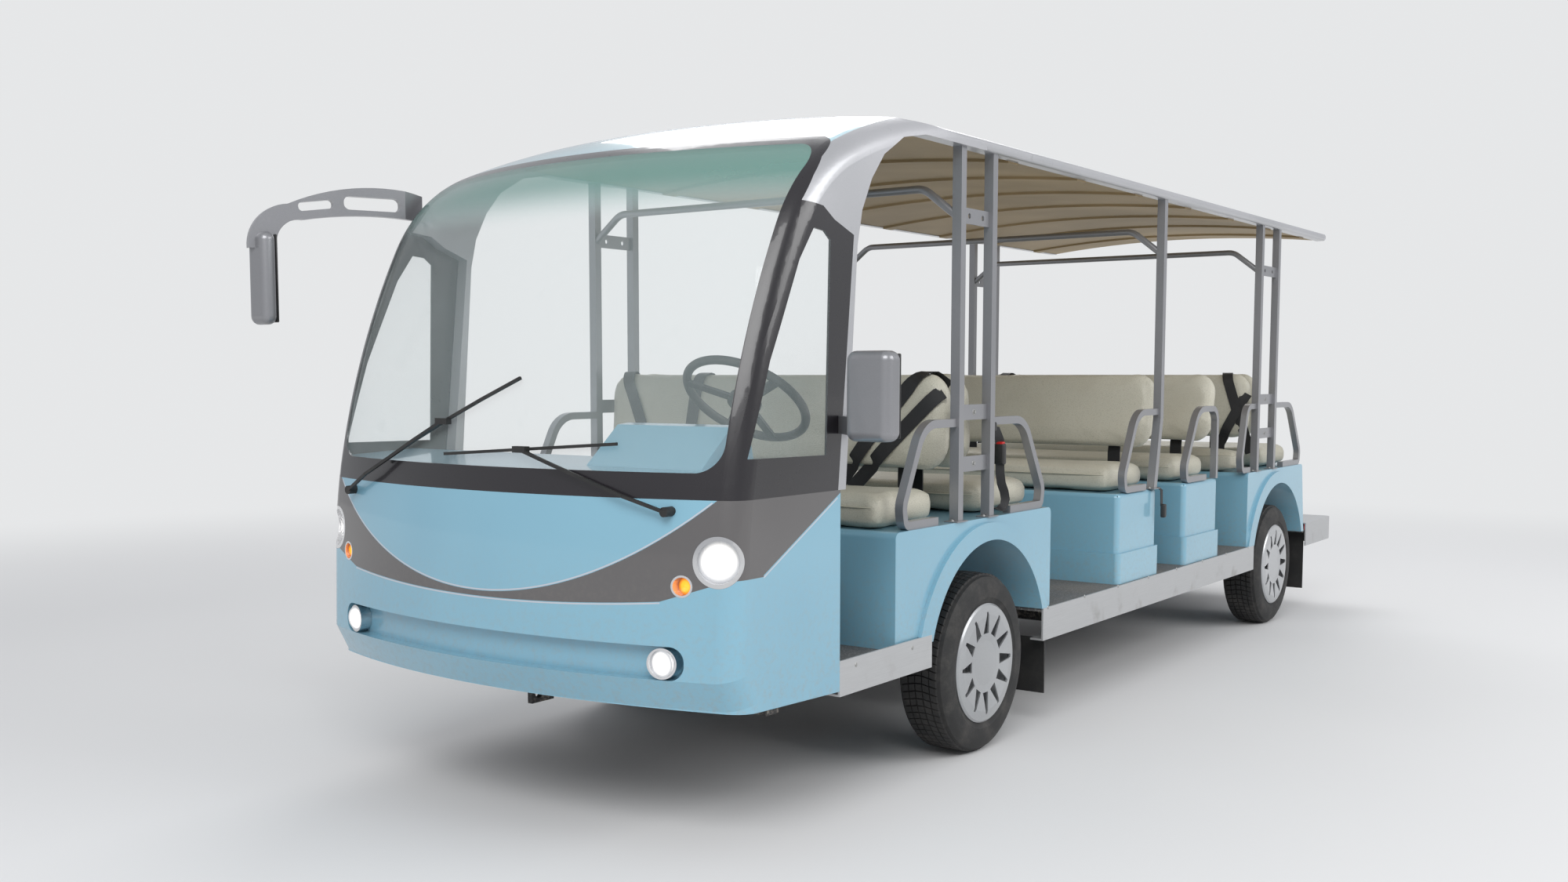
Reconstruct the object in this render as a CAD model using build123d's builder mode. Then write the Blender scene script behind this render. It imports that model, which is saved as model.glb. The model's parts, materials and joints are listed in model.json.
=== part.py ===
import os
from math import atan2, copysign, cos, degrees, radians, sin, sqrt

from build123d import *

os.makedirs("parts", exist_ok=True)

# Open-sided electric sightseeing bus, millimetres.
# X runs forward, Y to the left, Z up. The origin is on the ground, midway along the overall length.

# Overall sizes
front_overhang = 1450.0
wheelbase = 2940.0
rear_overhang = 900.0
overall_length = front_overhang + wheelbase + rear_overhang
body_half_width = 745.0
mirror_reach = 220.0
roof_crown_z = 1915.0
roof_edge_z = 1868.0
floor_z = 404.0
box_top_z = 735.0

front_x = overall_length / 2
rear_x = front_x - overall_length
front_axle_x = front_x - front_overhang
rear_axle_x = front_axle_x - wheelbase

# Fronts of the two middle rows' boxes, as shares of the way from the front axle to the rear one
second_row_share = 0.3554
third_row_share = 0.5884
row_two_x = front_axle_x - second_row_share * wheelbase
row_three_x = front_axle_x - third_row_share * wheelbase

# Walls and clearances
skin = 6.0
floor_thickness = 12.0
fit_gap = 0.3
pin_gap = 0.05
overrun = 60.0
far = 4000.0
low_left = (Align.CENTER, Align.CENTER, Align.MIN)
high_end = (Align.CENTER, Align.CENTER, Align.MAX)

# Tyres and wheels, 165/70 R13
tyre_radius = 280.5
tyre_width = 165.0
tyre_inset = 16.0
track_half = body_half_width - tyre_inset - tyre_width / 2
hub_z = tyre_radius

# Front end, turned about an upright axis
nose_bow_radius = 2138.0
corner_radius = 70.0
chin_z = 365.0
chin_setback = 38.0
lip_z = 440.0
waist_z = 690.0
waist_setback = 6.0
cowl_z = 905.0
cowl_setback = 27.0
brow_z = 1547.0
brow_setback = 235.0
header_z = 1780.0
header_setback = 474.0
crest_z = 1930.0
crest_setback = 1100.0
nose_axis_x = front_x - nose_bow_radius


def front_profile(inset):
    """Side outline of the turned front, from chin to crest, drawn `inset` mm inside the outer face."""
    with BuildSketch(Plane.XZ) as profile:
        with BuildLine():
            floor_line = Line((nose_axis_x, 0), (front_x - chin_setback - inset, 0))
            chin = Line(floor_line @ 1, (front_x - chin_setback - inset, chin_z))
            lip = Line(chin @ 1, (front_x - inset, lip_z))
            apron = Line(lip @ 1, (front_x - waist_setback - inset, waist_z))
            nose = TangentArc(apron @ 1, (front_x - cowl_setback - inset, cowl_z), tangent=apron % 1)
            screen = TangentArc(
                nose @ 1, (front_x - brow_setback - inset, brow_z - inset / 2), tangent=nose % 1
            )
            brow = TangentArc(
                screen @ 1, (front_x - header_setback - inset, header_z - inset), tangent=screen % 1
            )
            cap = TangentArc(brow @ 1, (front_x - crest_setback - inset, crest_z - inset), tangent=brow % 1)
            top = Line(cap @ 1, (nose_axis_x, crest_z - inset))
            Line(top @ 1, (nose_axis_x, 0))
        make_face()
    return profile.sketch, screen


def front_volume(inset):
    """Whole front of the body as one turned block with rounded corners, `inset` mm inside the skin."""
    half = body_half_width - inset
    profile, _ = front_profile(inset)
    with BuildPart() as volume:
        add(profile)
        revolve(axis=Axis((nose_axis_x, 0, 0), (0, 0, 1)))
        with Locations((nose_axis_x, 0, 0)):
            Box(far, 2 * half, far, align=(Align.MIN, Align.CENTER, Align.MIN), mode=Mode.INTERSECT)
        corners = volume.edges().filter_by(
            lambda e: abs(abs(e.center().Y) - half) < 1
            and e.center().X > nose_axis_x + overrun
            and 0 < e.center().Z < header_z
            and e.length > skin
        )
        corners = corners.filter_by(lambda e: abs((e @ 0).Z - (e @ 1).Z) > skin)
        fillet(corners, radius=corner_radius - inset)
    return volume.part


def prism_xz(points, y_from, y_to, start_x=front_axle_x):
    """Block whose outline is drawn in side view, as (x ahead of a start, z), between two Y faces."""
    with BuildPart() as block:
        with BuildSketch(Plane.XZ.offset(-y_to)):
            with BuildLine():
                Polyline(*[(start_x + x, z) for x, z in points], close=True)
            make_face()
        extrude(amount=y_to - y_from)
    return block.part


def common(first, second):
    """What two parts share."""
    with BuildPart() as shared:
        add(first)
        add(second, mode=Mode.INTERSECT)
    return shared.part


def less(first, *others):
    """The first part with the others cut away."""
    with BuildPart() as left:
        add(first)
        for other in others:
            add(other, mode=Mode.SUBTRACT)
    return left.part


def joined(*parts):
    """Parts welded into one."""
    with BuildPart() as whole:
        for part in parts:
            add(part)
    return whole.part


def kept_apart(*parts):
    """Parts that touch but stay solids of their own in one node."""
    return Compound(children=[solid for part in parts for solid in part.solids()])


def save(part, label):
    part.label = label
    export_step(part, f"parts/{label}.step")


outer_block = front_volume(0)
inner_block = front_volume(skin)
front_skin = less(outer_block, inner_block)

# The windscreen's curve, in the profile's own plane, where Y is the height
_, screen_arc = front_profile(0)
screen_centre = screen_arc.arc_center
screen_curve_radius = screen_arc.radius


def screen_x(y, z, proud=0.0):
    """X of the windscreen's outer face at a place in front view, `proud` mm outside it."""
    profile_x = screen_centre.X + sqrt(screen_curve_radius**2 - (z - screen_centre.Y) ** 2)
    turn_radius = profile_x - nose_axis_x + proud
    return nose_axis_x + sqrt(turn_radius**2 - y**2)


# Front panels: where they meet, in side view, ahead of the bus's front end
corner_panel_rear_x = -589.0
corner_panel_low_z = 345.0
panel_turn_x = -250.0
bumper_side_z = 690.0
bumper_rear_z = 868.0
frame_low_z = 875.0
frame_high_z = 1790.0
nose_dip_z = 620.0
nose_inset = 55.0
nose_half_width = body_half_width - nose_inset
bumper_dip_z = 606.0
bumper_shoulder_inset = 185.0
bumper_shoulder_y = body_half_width - bumper_shoulder_inset
bumper_shoulder_z = 630.0

# The line where the windscreen frame ends and the side starts. Columns: x ahead of the front end, z
frame_line = [
    (-141, frame_low_z), (-160, 960), (-244, 1206), (-325, 1370), (-430, 1602), (-487, 1669), (-540, 1722),
    (-635, frame_high_z),
]
ahead_of_frame_line = prism_xz(
    frame_line + [(overrun, frame_high_z), (overrun, frame_low_z)], -far, far, front_x
)
front_view = Plane.YZ.offset(nose_axis_x)


def front_view_prism(outline):
    """Block whose outline is a sketch in front view and which reaches over the whole front."""
    with BuildPart() as block:
        extrude(outline, amount=nose_bow_radius + overrun)
    return block.part


def nose_outline():
    with BuildSketch(front_view) as outline:
        with BuildLine():
            edge = ThreePointArc(
                (-nose_half_width, frame_low_z), (0, nose_dip_z), (nose_half_width, frame_low_z)
            )
            Line(edge @ 1, edge @ 0)
        make_face()
    return outline.sketch


def bumper_front_outline():
    reach = body_half_width + overrun
    side_y = body_half_width - corner_radius / 3
    with BuildSketch(front_view) as outline:
        with BuildLine():
            dip = ThreePointArc(
                (-bumper_shoulder_y, bumper_shoulder_z), (0, bumper_dip_z),
                (bumper_shoulder_y, bumper_shoulder_z),
            )
            Polyline(
                dip @ 1, (side_y, bumper_side_z - skin), (reach, bumper_side_z), (reach, 0), (-reach, 0),
                (-reach, bumper_side_z), (-side_y, bumper_side_z - skin), dip @ 0,
            )
        make_face()
    return outline.sketch


# Windscreen opening in front view
screen_low_inset = 51.0
screen_high_inset = 45.0
screen_half_low = body_half_width - screen_low_inset
screen_half_high = body_half_width - screen_high_inset
screen_low_z = 938.0
screen_high_z = 1764.0
screen_round = 70.0


def screen_outline():
    with BuildSketch(front_view) as outline:
        with BuildLine():
            Polyline(
                (-screen_half_low, screen_low_z), (screen_half_low, screen_low_z),
                (screen_half_high, screen_high_z), (-screen_half_high, screen_high_z), close=True,
            )
        make_face()
        fillet(outline.vertices().group_by(Axis.Z)[-1], radius=screen_round)
    return outline.sketch


# Lamps. Columns: x of the lens ahead of the front end, distance in from the body's side, z, barrel radius,
# lens radius, depth behind the lens, turn outwards in degrees
lamp_table = {
    "head": (-153.0, 61.0, 729.0, 62.0, 52.0, 45.0, 32.0),
    "fog": (-78.0, 179.0, 480.0, 38.0, 33.0, 36.0, 0),
    "turn": (-112.0, 131.0, 669.0, 27.0, 22.0, 30.0, 0),
}
dome_share = 0.24
barrel_reach = 150.0


def dome_radius(half_width, height):
    """Radius of the arc that rises by a height over a half width."""
    return (half_width**2 + height**2) / (2 * height)


def lamp_plane(kind):
    """Plane of the left lamp's lens, its normal along the lamp's axis."""
    ahead, inset, z, _, _, _, turn = lamp_table[kind]
    way = Vector(cos(radians(turn)), sin(radians(turn)), 0)
    return Plane(origin=(front_x + ahead, body_half_width - inset, z), x_dir=(0, 0, 1), z_dir=way)


def lamp_pair(kind):
    """A pair of lamps: barrels cut flush with the body, a bowl in front and a domed lens inside it."""
    _, _, _, radius, lens_radius, depth, _ = lamp_table[kind]
    face = lamp_plane(kind)
    dome = lens_radius * dome_share
    with BuildPart() as pair:
        with BuildSketch(face.offset(-depth)):
            Circle(radius)
        extrude(amount=depth + barrel_reach)
        with BuildSketch(face):
            Circle(lens_radius)
        extrude(amount=barrel_reach, mode=Mode.SUBTRACT)
        add(outer_block, mode=Mode.INTERSECT)
        with BuildSketch(Plane(origin=face.origin, x_dir=face.z_dir, z_dir=(-face.z_dir.Y, face.z_dir.X, 0))):
            with BuildLine():
                tip = Line((0, 0), (dome, 0))
                curve = RadiusArc(tip @ 1, (0, lens_radius), dome_radius(lens_radius, dome))
                Line(curve @ 1, tip @ 0)
            make_face()
        revolve(axis=Axis(face.origin, face.z_dir))
        mirror(about=Plane.XZ)
    return pair.part


def lamp_holes(*kinds):
    """Holes for pairs of lamps, a little larger than their barrels."""
    with BuildPart() as holes:
        for kind in kinds:
            _, _, _, radius, _, depth, _ = lamp_table[kind]
            with BuildSketch(lamp_plane(kind).offset(-depth)):
                Circle(radius + fit_gap)
            extrude(amount=depth + barrel_reach)
        mirror(about=Plane.XZ)
    return holes.part


# Columns of the next three outlines: x ahead of the front end, z
side_bumper_points = [
    (corner_panel_rear_x, 0), (corner_panel_rear_x, bumper_rear_z), (panel_turn_x, bumper_side_z),
    (panel_turn_x, 0),
]
side_corner_points = [
    (corner_panel_rear_x, bumper_rear_z), (corner_panel_rear_x, frame_low_z), (panel_turn_x, frame_low_z),
    (panel_turn_x, bumper_side_z),
]
ahead_of_turn = [(panel_turn_x, 0), (overrun, 0), (overrun, frame_low_z), (panel_turn_x, frame_low_z)]
turned_part = prism_xz(ahead_of_turn, -far, far, front_x)

# Bumper: lower shell with the long lamp slot
slot_low_z = 440.0
slot_high_z = 522.0
slot_inset = 123.0
slot_half_width = body_half_width - slot_inset
slot_depth = 42.0
slot_round_share = 0.45


def slot_outline(margin):
    high = slot_high_z - slot_low_z + 2 * margin
    with BuildSketch(front_view) as outline:
        with Locations((0, (slot_low_z + slot_high_z) / 2)):
            RectangleRounded(2 * (slot_half_width + margin), high, high * slot_round_share)
    return outline.sketch


def slot_ring(outer_radius, inner_radius, margin):
    """Stretch of an upright ring about the nose's axis, seen through the slot's outline."""
    with BuildPart() as ring:
        with BuildSketch():
            with Locations((nose_axis_x, 0)):
                Circle(outer_radius)
                Circle(inner_radius, mode=Mode.SUBTRACT)
        extrude(amount=cowl_z)
        add(front_view_prism(slot_outline(margin)), mode=Mode.INTERSECT)
    return ring.part


bumper_region = joined(
    common(front_view_prism(bumper_front_outline()), turned_part),
    prism_xz(side_bumper_points, -far, far, front_x),
)
slot_back_radius = nose_bow_radius - slot_depth
under_bumper = [
    (corner_panel_rear_x, 0), (corner_panel_rear_x, corner_panel_low_z), (0, chin_z), (overrun, chin_z),
    (overrun, 0),
]
with BuildPart() as front_bumper:
    add(common(front_skin, bumper_region))
    add(slot_ring(nose_bow_radius - skin / 2, slot_back_radius, skin))
    add(slot_ring(nose_bow_radius + overrun, slot_back_radius + skin, 0), mode=Mode.SUBTRACT)
    with Locations((0, 0, corner_panel_low_z)):
        Box(2 * far, 2 * far, far, align=low_left, mode=Mode.INTERSECT)
    add(prism_xz(under_bumper, -far, far, front_x), mode=Mode.SUBTRACT)
    add(lamp_holes("head", "fog", "turn"), mode=Mode.SUBTRACT)
save(front_bumper.part, "front_bumper")

# Nose panel, with the two wiper pivots' holes
wiper_pivot_inset = 165.0
wiper_pivot_y = body_half_width - wiper_pivot_inset
wiper_pivot_z = 847.0
wiper_pivot_radius = 12.0
nose_prism = front_view_prism(nose_outline())
with BuildPart() as nose_panel:
    add(common(front_skin, nose_prism))
    with Locations(*[(front_x - cowl_setback, side * wiper_pivot_y, wiper_pivot_z) for side in (1, -1)]):
        Cylinder(wiper_pivot_radius + fit_gap, 4 * overrun, rotation=(0, 90, 0), mode=Mode.SUBTRACT)
    add(lamp_holes("head", "turn"), mode=Mode.SUBTRACT)
save(nose_panel.part, "nose_panel")

corner_region = joined(
    less(turned_part, front_view_prism(bumper_front_outline()), nose_prism),
    prism_xz(side_corner_points, -far, far, front_x),
)
save(less(common(front_skin, corner_region), lamp_holes("head", "turn")), "lamp_corner_panels")

# Windscreen, quarter windows and their black frames
screen_prism = front_view_prism(screen_outline())
front_of_frame = common(front_skin, ahead_of_frame_line)
# Columns: x ahead of the front end, z
quarter_points = [(-578, frame_low_z), (-648, 1532), (-556, 1564), (-505, 1594)] + frame_line[4::-1]
quarter_glass_points = [
    (-522, 968), (-538, 1512), (-510, 1532), (-462, 1536), (-400, 1455), (-278, 1206), (-194, 972),
]
corner_inner_y = body_half_width - corner_radius - overrun / 2


def side_window(points):
    """The body's skin inside an outline in side view, on both sides."""
    both = joined(
        prism_xz(points, corner_inner_y, far, front_x), prism_xz(points, -far, -corner_inner_y, front_x)
    )
    return common(front_skin, both)


quarter_frame_pair = less(side_window(quarter_points), prism_xz(quarter_glass_points, -far, far, front_x))
save(kept_apart(less(front_of_frame, screen_prism), quarter_frame_pair), "screen_frames")
save(kept_apart(common(front_of_frame, screen_prism), side_window(quarter_glass_points)), "glazing")

# Roof: one crowned section along the bus, cut by the turned front
roof_joint_x = -1383.0
roof_rear_setback = 262.0
roof_rear_x = rear_x + roof_rear_setback
roof_edge_round = 14.0
rail_depth = 32.0
roof_wall = 6.0
lining_drop = 30.0
lining_thickness = 4.0
lining_rib_pitch = 520.0
lining_rib_width = 70.0
lining_rib_depth = 9.0
lining_front_x = -910.0
arch_width = 45.0
arch_inner_y = body_half_width - arch_width
header_low_z = header_z - 2 * overrun


def crown_block(drop, half_width, low_z, x_front=front_x):
    """Crowned block from the roof's rear end forward, its top `drop` mm under the roof's outer face."""
    edge_z = roof_crown_z - (roof_crown_z - roof_edge_z) * (half_width / body_half_width) ** 2 - drop
    with BuildPart() as block:
        with BuildSketch(Plane.YZ.offset(roof_rear_x)) as section:
            with BuildLine():
                crown = ThreePointArc((-half_width, edge_z), (0, roof_crown_z - drop), (half_width, edge_z))
                left = Line(crown @ 1, (half_width, low_z))
                under = Line(left @ 1, (-half_width, low_z))
                Line(under @ 1, crown @ 0)
            make_face()
            if half_width == body_half_width and drop == 0:
                fillet(section.vertices().group_by(Axis.Z)[-1], radius=roof_edge_round)
        extrude(amount=x_front - roof_rear_x)
    return block.part


def trimmed_front(part, block):
    """The part with what lies outside the turned front block cut off."""
    with BuildPart() as ahead_box:
        with Locations((nose_axis_x + overrun, 0, 0)):
            Box(far, far, far, align=(Align.MIN, Align.CENTER, Align.MIN))
    return less(part, less(ahead_box.part, block))


# Columns: x ahead of the front end, z
arch_points = [
    (roof_joint_x, roof_crown_z + overrun), (roof_joint_x, roof_edge_z - rail_depth),
    (-1020, roof_edge_z - rail_depth), (-900, 1814), (-797, 1756),
    (-735, 1686), (-688, 1600), (-666, 1510), (-614, frame_low_z),
] + quarter_points[:4] + frame_line[4:] + [(-450, roof_crown_z + overrun)]
with BuildPart() as front_arch:
    add(prism_xz(arch_points, arch_inner_y, body_half_width, front_x))
    add(prism_xz(arch_points, -body_half_width, -arch_inner_y, front_x))
    add(trimmed_front(crown_block(0, body_half_width, 0), outer_block), mode=Mode.INTERSECT)
save(front_arch.part, "front_arch")

roof_outer = trimmed_front(crown_block(0, body_half_width, header_low_z), outer_block)
roof_inner = trimmed_front(crown_block(roof_wall, body_half_width, header_low_z - overrun), inner_block)
with BuildPart() as roof_panel:
    add(less(roof_outer, roof_inner, ahead_of_frame_line))
    with Locations((roof_rear_x, 0, header_low_z)):
        Box(2 * far, 2 * arch_inner_y, far, align=(Align.MIN, Align.CENTER, Align.MIN), mode=Mode.INTERSECT)
save(roof_panel.part, "roof_panel")

with BuildPart() as roof_rails:
    add(crown_block(0, body_half_width, roof_edge_z - rail_depth, front_x + roof_joint_x))
    with Locations((front_axle_x, 0, 0)):
        Box(2 * far, 2 * arch_inner_y, far, align=low_left, mode=Mode.SUBTRACT)
save(roof_rails.part, "roof_edge_rails")

lining_low_z = frame_high_z - overrun
lining_end_x = front_x + lining_front_x
rib_drop = lining_drop + lining_thickness
rib_count = int((lining_end_x - roof_rear_x) / lining_rib_pitch)
rib_xs = [roof_rear_x + lining_rib_pitch * (index + 1 / 2) for index in range(rib_count)]
with BuildPart() as rib_bars:
    with Locations(*[(rib_x, 0, 0) for rib_x in rib_xs]):
        Box(lining_rib_width, 2 * far, far, align=low_left)
with BuildPart() as lining_ribs:
    add(crown_block(rib_drop - lining_thickness / 2, arch_inner_y, lining_low_z, lining_end_x))
    add(crown_block(rib_drop + lining_rib_depth, arch_inner_y, 0, lining_end_x), mode=Mode.SUBTRACT)
    add(rib_bars.part, mode=Mode.INTERSECT)
with BuildPart() as roof_lining:
    add(crown_block(lining_drop, arch_inner_y, lining_low_z, lining_end_x))
    add(crown_block(rib_drop, arch_inner_y, 0, lining_end_x), mode=Mode.SUBTRACT)
    add(lining_ribs.part)
save(roof_lining.part, "roof_lining")

# Posts. Columns: where x starts, x of the upper part, x of the foot
tube_size = 30.0
half_tube = tube_size / 2
post_inset = 27.0
post_y = body_half_width - post_inset
post_top_z = roof_edge_z - rail_depth
bend_z = 1005.0
post_table = [
    (front_axle_x, 185.0, 185.0), (front_axle_x, -15.0, -15.0), (row_two_x, -390.0, -335.0),
    (rear_axle_x, 310.0, 310.0), (rear_axle_x, 65.0, 65.0),
]
post_xs = [start_x + x_top for start_x, x_top, _ in post_table]
ladder_pairs = [post_xs[0:2], post_xs[3:5]]
rung_zs = (1640.0, 1060.0, 905.0)
rung_height = 46.0
rung_thickness = 6.0
rung_hole = 8.0
rung_hole_share = 0.25
with BuildPart() as roof_posts:
    for start_x, x_top, x_foot in post_table:
        add(prism_xz([
            (x_foot - half_tube, box_top_z), (x_foot + half_tube, box_top_z), (x_top + half_tube, bend_z),
            (x_top + half_tube, post_top_z), (x_top - half_tube, post_top_z), (x_top - half_tube, bend_z),
        ], post_y - half_tube, post_y + half_tube, start_x))
    for x_one, x_two in ladder_pairs:
        gap = x_one - x_two - tube_size
        rung_x = (x_one + x_two) / 2
        with Locations(*[(rung_x, post_y, rung_z) for rung_z in rung_zs]):
            Box(gap, rung_thickness, rung_height)
        with Locations(*[(rung_x + side * rung_hole_share * gap, post_y, rung_zs[0]) for side in (1, -1)]):
            Cylinder(rung_hole, tube_size, rotation=(90, 0, 0), mode=Mode.SUBTRACT)
    mirror(about=Plane.XZ)
save(roof_posts.part, "roof_posts")

# Grab tubes across the bus, from post to post
grab_radius = 12.0
grab_z = 1722.0
grab_foot_z = 1630.0
grab_inset = 145.0
grab_turn_y = body_half_width - grab_inset
grab_bend = 70.0
with BuildPart() as grab_tubes:
    for x in (post_xs[0], post_xs[2], post_xs[3]):
        with BuildLine(mode=Mode.PRIVATE) as path:
            FilletPolyline(
                (x, post_y, grab_foot_z), (x, grab_turn_y, grab_z), (x, -grab_turn_y, grab_z),
                (x, -post_y, grab_foot_z), radius=grab_bend,
            )
        with BuildSketch(Plane(origin=path.line @ 0, z_dir=path.line % 0)):
            Circle(grab_radius)
        sweep(path=path.line)
    with Locations((0, 0, 0)):
        Box(2 * far, 2 * (post_y - half_tube), far, align=low_left, mode=Mode.INTERSECT)
save(grab_tubes.part, "grab_tubes")

# Armrest hoops. Columns: where x starts, x where the top starts, x of the foot, whether it has its own leg
hoop_table = [
    (front_axle_x, 200.0, 500.0, False), (front_axle_x, -30.0, -400.0, False),
    (row_two_x, -375.0, -55.0, False), (row_three_x, -374.0, -12.0, True),
    (rear_axle_x, 325.0, 500.0, False), (rear_axle_x, 50.0, -370.0, False),
]
hoop_width = 24.0
hoop_thick = 26.0
hoop_top_z = 1030.0
hoop_foot_z = box_top_z + hoop_width / 2
hoop_inset = 33.0
hoop_y = body_half_width - hoop_inset
hoop_bend = 110.0
hoop_toe_bend = 55.0
hoop_foot_bend = 20.0
hoop_shoulder_share = 0.62
hoop_base_share = 0.35
with BuildPart() as hoops:
    for from_x, x_top, x_foot, own_leg in hoop_table:
        run = x_foot - x_top
        toe = copysign(hoop_width / 2, run)
        start_x = from_x + x_top
        foot_x = from_x + x_foot
        leg = [(start_x, hoop_y, box_top_z)] if own_leg else []
        bends = [min(hoop_bend, abs(run) * hoop_base_share), hoop_toe_bend, hoop_foot_bend]
        with BuildLine(mode=Mode.PRIVATE) as path:
            FilletPolyline(
                *leg, (start_x, hoop_y, hoop_top_z), (start_x + run * hoop_shoulder_share, hoop_y, hoop_top_z),
                (foot_x, hoop_y, hoop_foot_z + hoop_toe_bend), (foot_x - toe, hoop_y, hoop_foot_z),
                (start_x + run * hoop_base_share, hoop_y, hoop_foot_z),
                radius=[hoop_toe_bend] * own_leg + bends,
            )
        with BuildSketch(Plane(origin=path.line @ 0, z_dir=path.line % 0, x_dir=(0, 1, 0))):
            Rectangle(hoop_thick, hoop_width)
        sweep(path=path.line)
    mirror(about=Plane.XZ)
save(hoops.part, "armrest_hoops")

# Seat boxes over the wheels. Places are ahead of their own axle
front_sill_low_z = 330.0
front_sill_top_z = 425.0
front_sill_rear_x = 372.0
flare_depth = 12.0
box_half_width = body_half_width - flare_depth
wheel_arch_radius = 385.0
flare_radius = 440.0
flare_shift = 18.0
steer_room = 172.0
wheelhouse_inner_y = track_half - tyre_width / 2 - steer_room
box_edge_round = 20.0
front_box_front_x = 560.0
front_box_rear_x = -444.0
rear_box_front_x = 443.0
rear_box_rear_x = -390.0
rear_box_foot_x = -441.0


def wheel_box(x_front, x_rear, x_foot, axle_x):
    """Seat box over a pair of wheels: hollow, open below, with a wheelhouse and a flare on each side."""
    outline = [(x_front, floor_z), (x_front, box_top_z), (x_rear, box_top_z), (x_foot, floor_z)]
    inside = [(x_front - skin, 0), (x_front - skin, box_top_z - skin), (x_rear + skin, box_top_z - skin),
              (x_foot + skin, floor_z), (x_foot + skin, 0)]
    with BuildPart() as box:
        add(prism_xz(outline, -box_half_width, box_half_width, axle_x))
        fillet(box.edges().filter_by(Axis.Y).group_by(Axis.Z)[-1], radius=box_edge_round)
        add(prism_xz(inside, -box_half_width + skin, box_half_width - skin, axle_x), mode=Mode.SUBTRACT)
        for side in (1, -1):
            with Locations((axle_x, side * (box_half_width + wheelhouse_inner_y - skin) / 2, hub_z)):
                Cylinder(wheel_arch_radius + skin, box_half_width - wheelhouse_inner_y + skin,
                         rotation=(90, 0, 0))
            with Locations((axle_x + flare_shift, side * (box_half_width + flare_depth / 2), hub_z)):
                Cylinder(flare_radius, flare_depth, rotation=(90, 0, 0))
            with Locations((axle_x, side * (body_half_width + wheelhouse_inner_y + overrun) / 2, hub_z)):
                Cylinder(wheel_arch_radius, body_half_width - wheelhouse_inner_y + overrun, rotation=(90, 0, 0),
                         mode=Mode.SUBTRACT)
        with Locations((0, 0, floor_z)):
            Box(2 * far, far, box_top_z - floor_z, align=low_left, mode=Mode.INTERSECT)
    return box.part


with BuildPart() as seat_box_front:
    add(wheel_box(front_box_front_x, front_box_rear_x, front_box_rear_x, front_axle_x))
    clear_of_sill = [
        (front_sill_rear_x, 0), (front_sill_rear_x, front_sill_top_z),
        (front_box_front_x + overrun, front_sill_top_z),
        (front_box_front_x + overrun, 0),
    ]
    for y_low in (box_half_width, -box_half_width - overrun):
        add(prism_xz(clear_of_sill, y_low, y_low + overrun), mode=Mode.SUBTRACT)
save(seat_box_front.part, "seat_box_front")
save(wheel_box(rear_box_front_x, rear_box_rear_x, rear_box_foot_x, rear_axle_x), "seat_box_rear")

# Middle seat boxes. Columns: x of the front, depth
middle_boxes = [(row_two_x, 375.0), (row_three_x, 390.0)]
ledge_z = 516.0
ledge_step = 10.0
box_corner_round = 20.0
box_rim_round = 15.0


def middle_box(x_front, length):
    """Seat box between the axles: a foot with a step above it, hollow and open below."""
    upper_half = box_half_width - ledge_step
    with BuildPart() as box:
        with Locations((x_front - length / 2, 0, 0)):
            with Locations((0, 0, floor_z)):
                Box(length + 2 * ledge_step, 2 * box_half_width, ledge_z - floor_z, align=low_left)
            with Locations((0, 0, ledge_z)):
                Box(length, 2 * upper_half, box_top_z - ledge_z, align=low_left)
            fillet(box.edges().filter_by(Axis.Z), radius=box_corner_round)
            fillet(box.faces().sort_by(Axis.Z)[-1].edges(), radius=box_rim_round)
            with Locations((0, 0, floor_z)):
                Box(length - 2 * skin, 2 * (upper_half - skin), box_top_z - skin - floor_z, align=low_left,
                    mode=Mode.SUBTRACT)
    return box.part


save(kept_apart(*[middle_box(*places) for places in middle_boxes]), "seat_boxes_middle")

# Floor, with a strip under each foot of the rear seat box
floor_half_width = body_half_width - skin
floor_setback = 205.0
floor_corner = (100.0, 40.0)
front_sill_end_x = front_axle_x + front_sill_rear_x
sill_low_z = 296.0
sill_end_gap = 372.0
sill_lap = 73.0
sill_front_x = front_axle_x - sill_end_gap
sill_rear_x = rear_axle_x + rear_box_front_x - sill_lap
strip_width = 26.0
floor_front_x = front_x - floor_setback
strip_x = rear_axle_x + rear_box_front_x
half_floor = [
    (floor_front_x, floor_half_width - floor_corner[1]), (floor_front_x - floor_corner[0], floor_half_width),
    (front_sill_end_x, floor_half_width), (front_sill_end_x, wheelhouse_inner_y - skin),
    (sill_front_x, wheelhouse_inner_y - skin), (sill_front_x, floor_half_width),
    (strip_x - strip_width / 2, floor_half_width), (strip_x - strip_width / 2, 0), (floor_front_x, 0),
]
with BuildPart() as floor_deck:
    with BuildSketch(Plane.XY.offset(floor_z - floor_thickness)):
        with BuildLine():
            Polyline(*half_floor, close=True)
        make_face()
    extrude(amount=floor_thickness)
    mirror(about=Plane.XZ)
    with Locations((rear_axle_x + rear_box_foot_x - skin / 2, 0, floor_z - floor_thickness)):
        Box(strip_width, 2 * box_half_width, floor_thickness, align=low_left)
save(floor_deck.part, "floor_deck")

# Sills. Columns: front x, rear x, low z, top z
sill_flange = 40.0
sill_table = [
    (sill_front_x, sill_rear_x, sill_low_z, floor_z),
    (front_x + corner_panel_rear_x, front_sill_end_x, front_sill_low_z, front_sill_top_z),
]
with BuildPart() as side_sills:
    for x_front, x_rear, low_z, top_z in sill_table:
        middle_x = (x_front + x_rear) / 2
        with Locations((middle_x, body_half_width - skin / 2, low_z)):
            Box(x_front - x_rear, skin, top_z - low_z, align=low_left)
        with Locations((middle_x, body_half_width - skin - sill_flange / 2, low_z)):
            Box(x_front - x_rear, sill_flange, skin, align=low_left)
    mirror(about=Plane.XZ)
save(side_sills.part, "side_sills")

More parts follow.
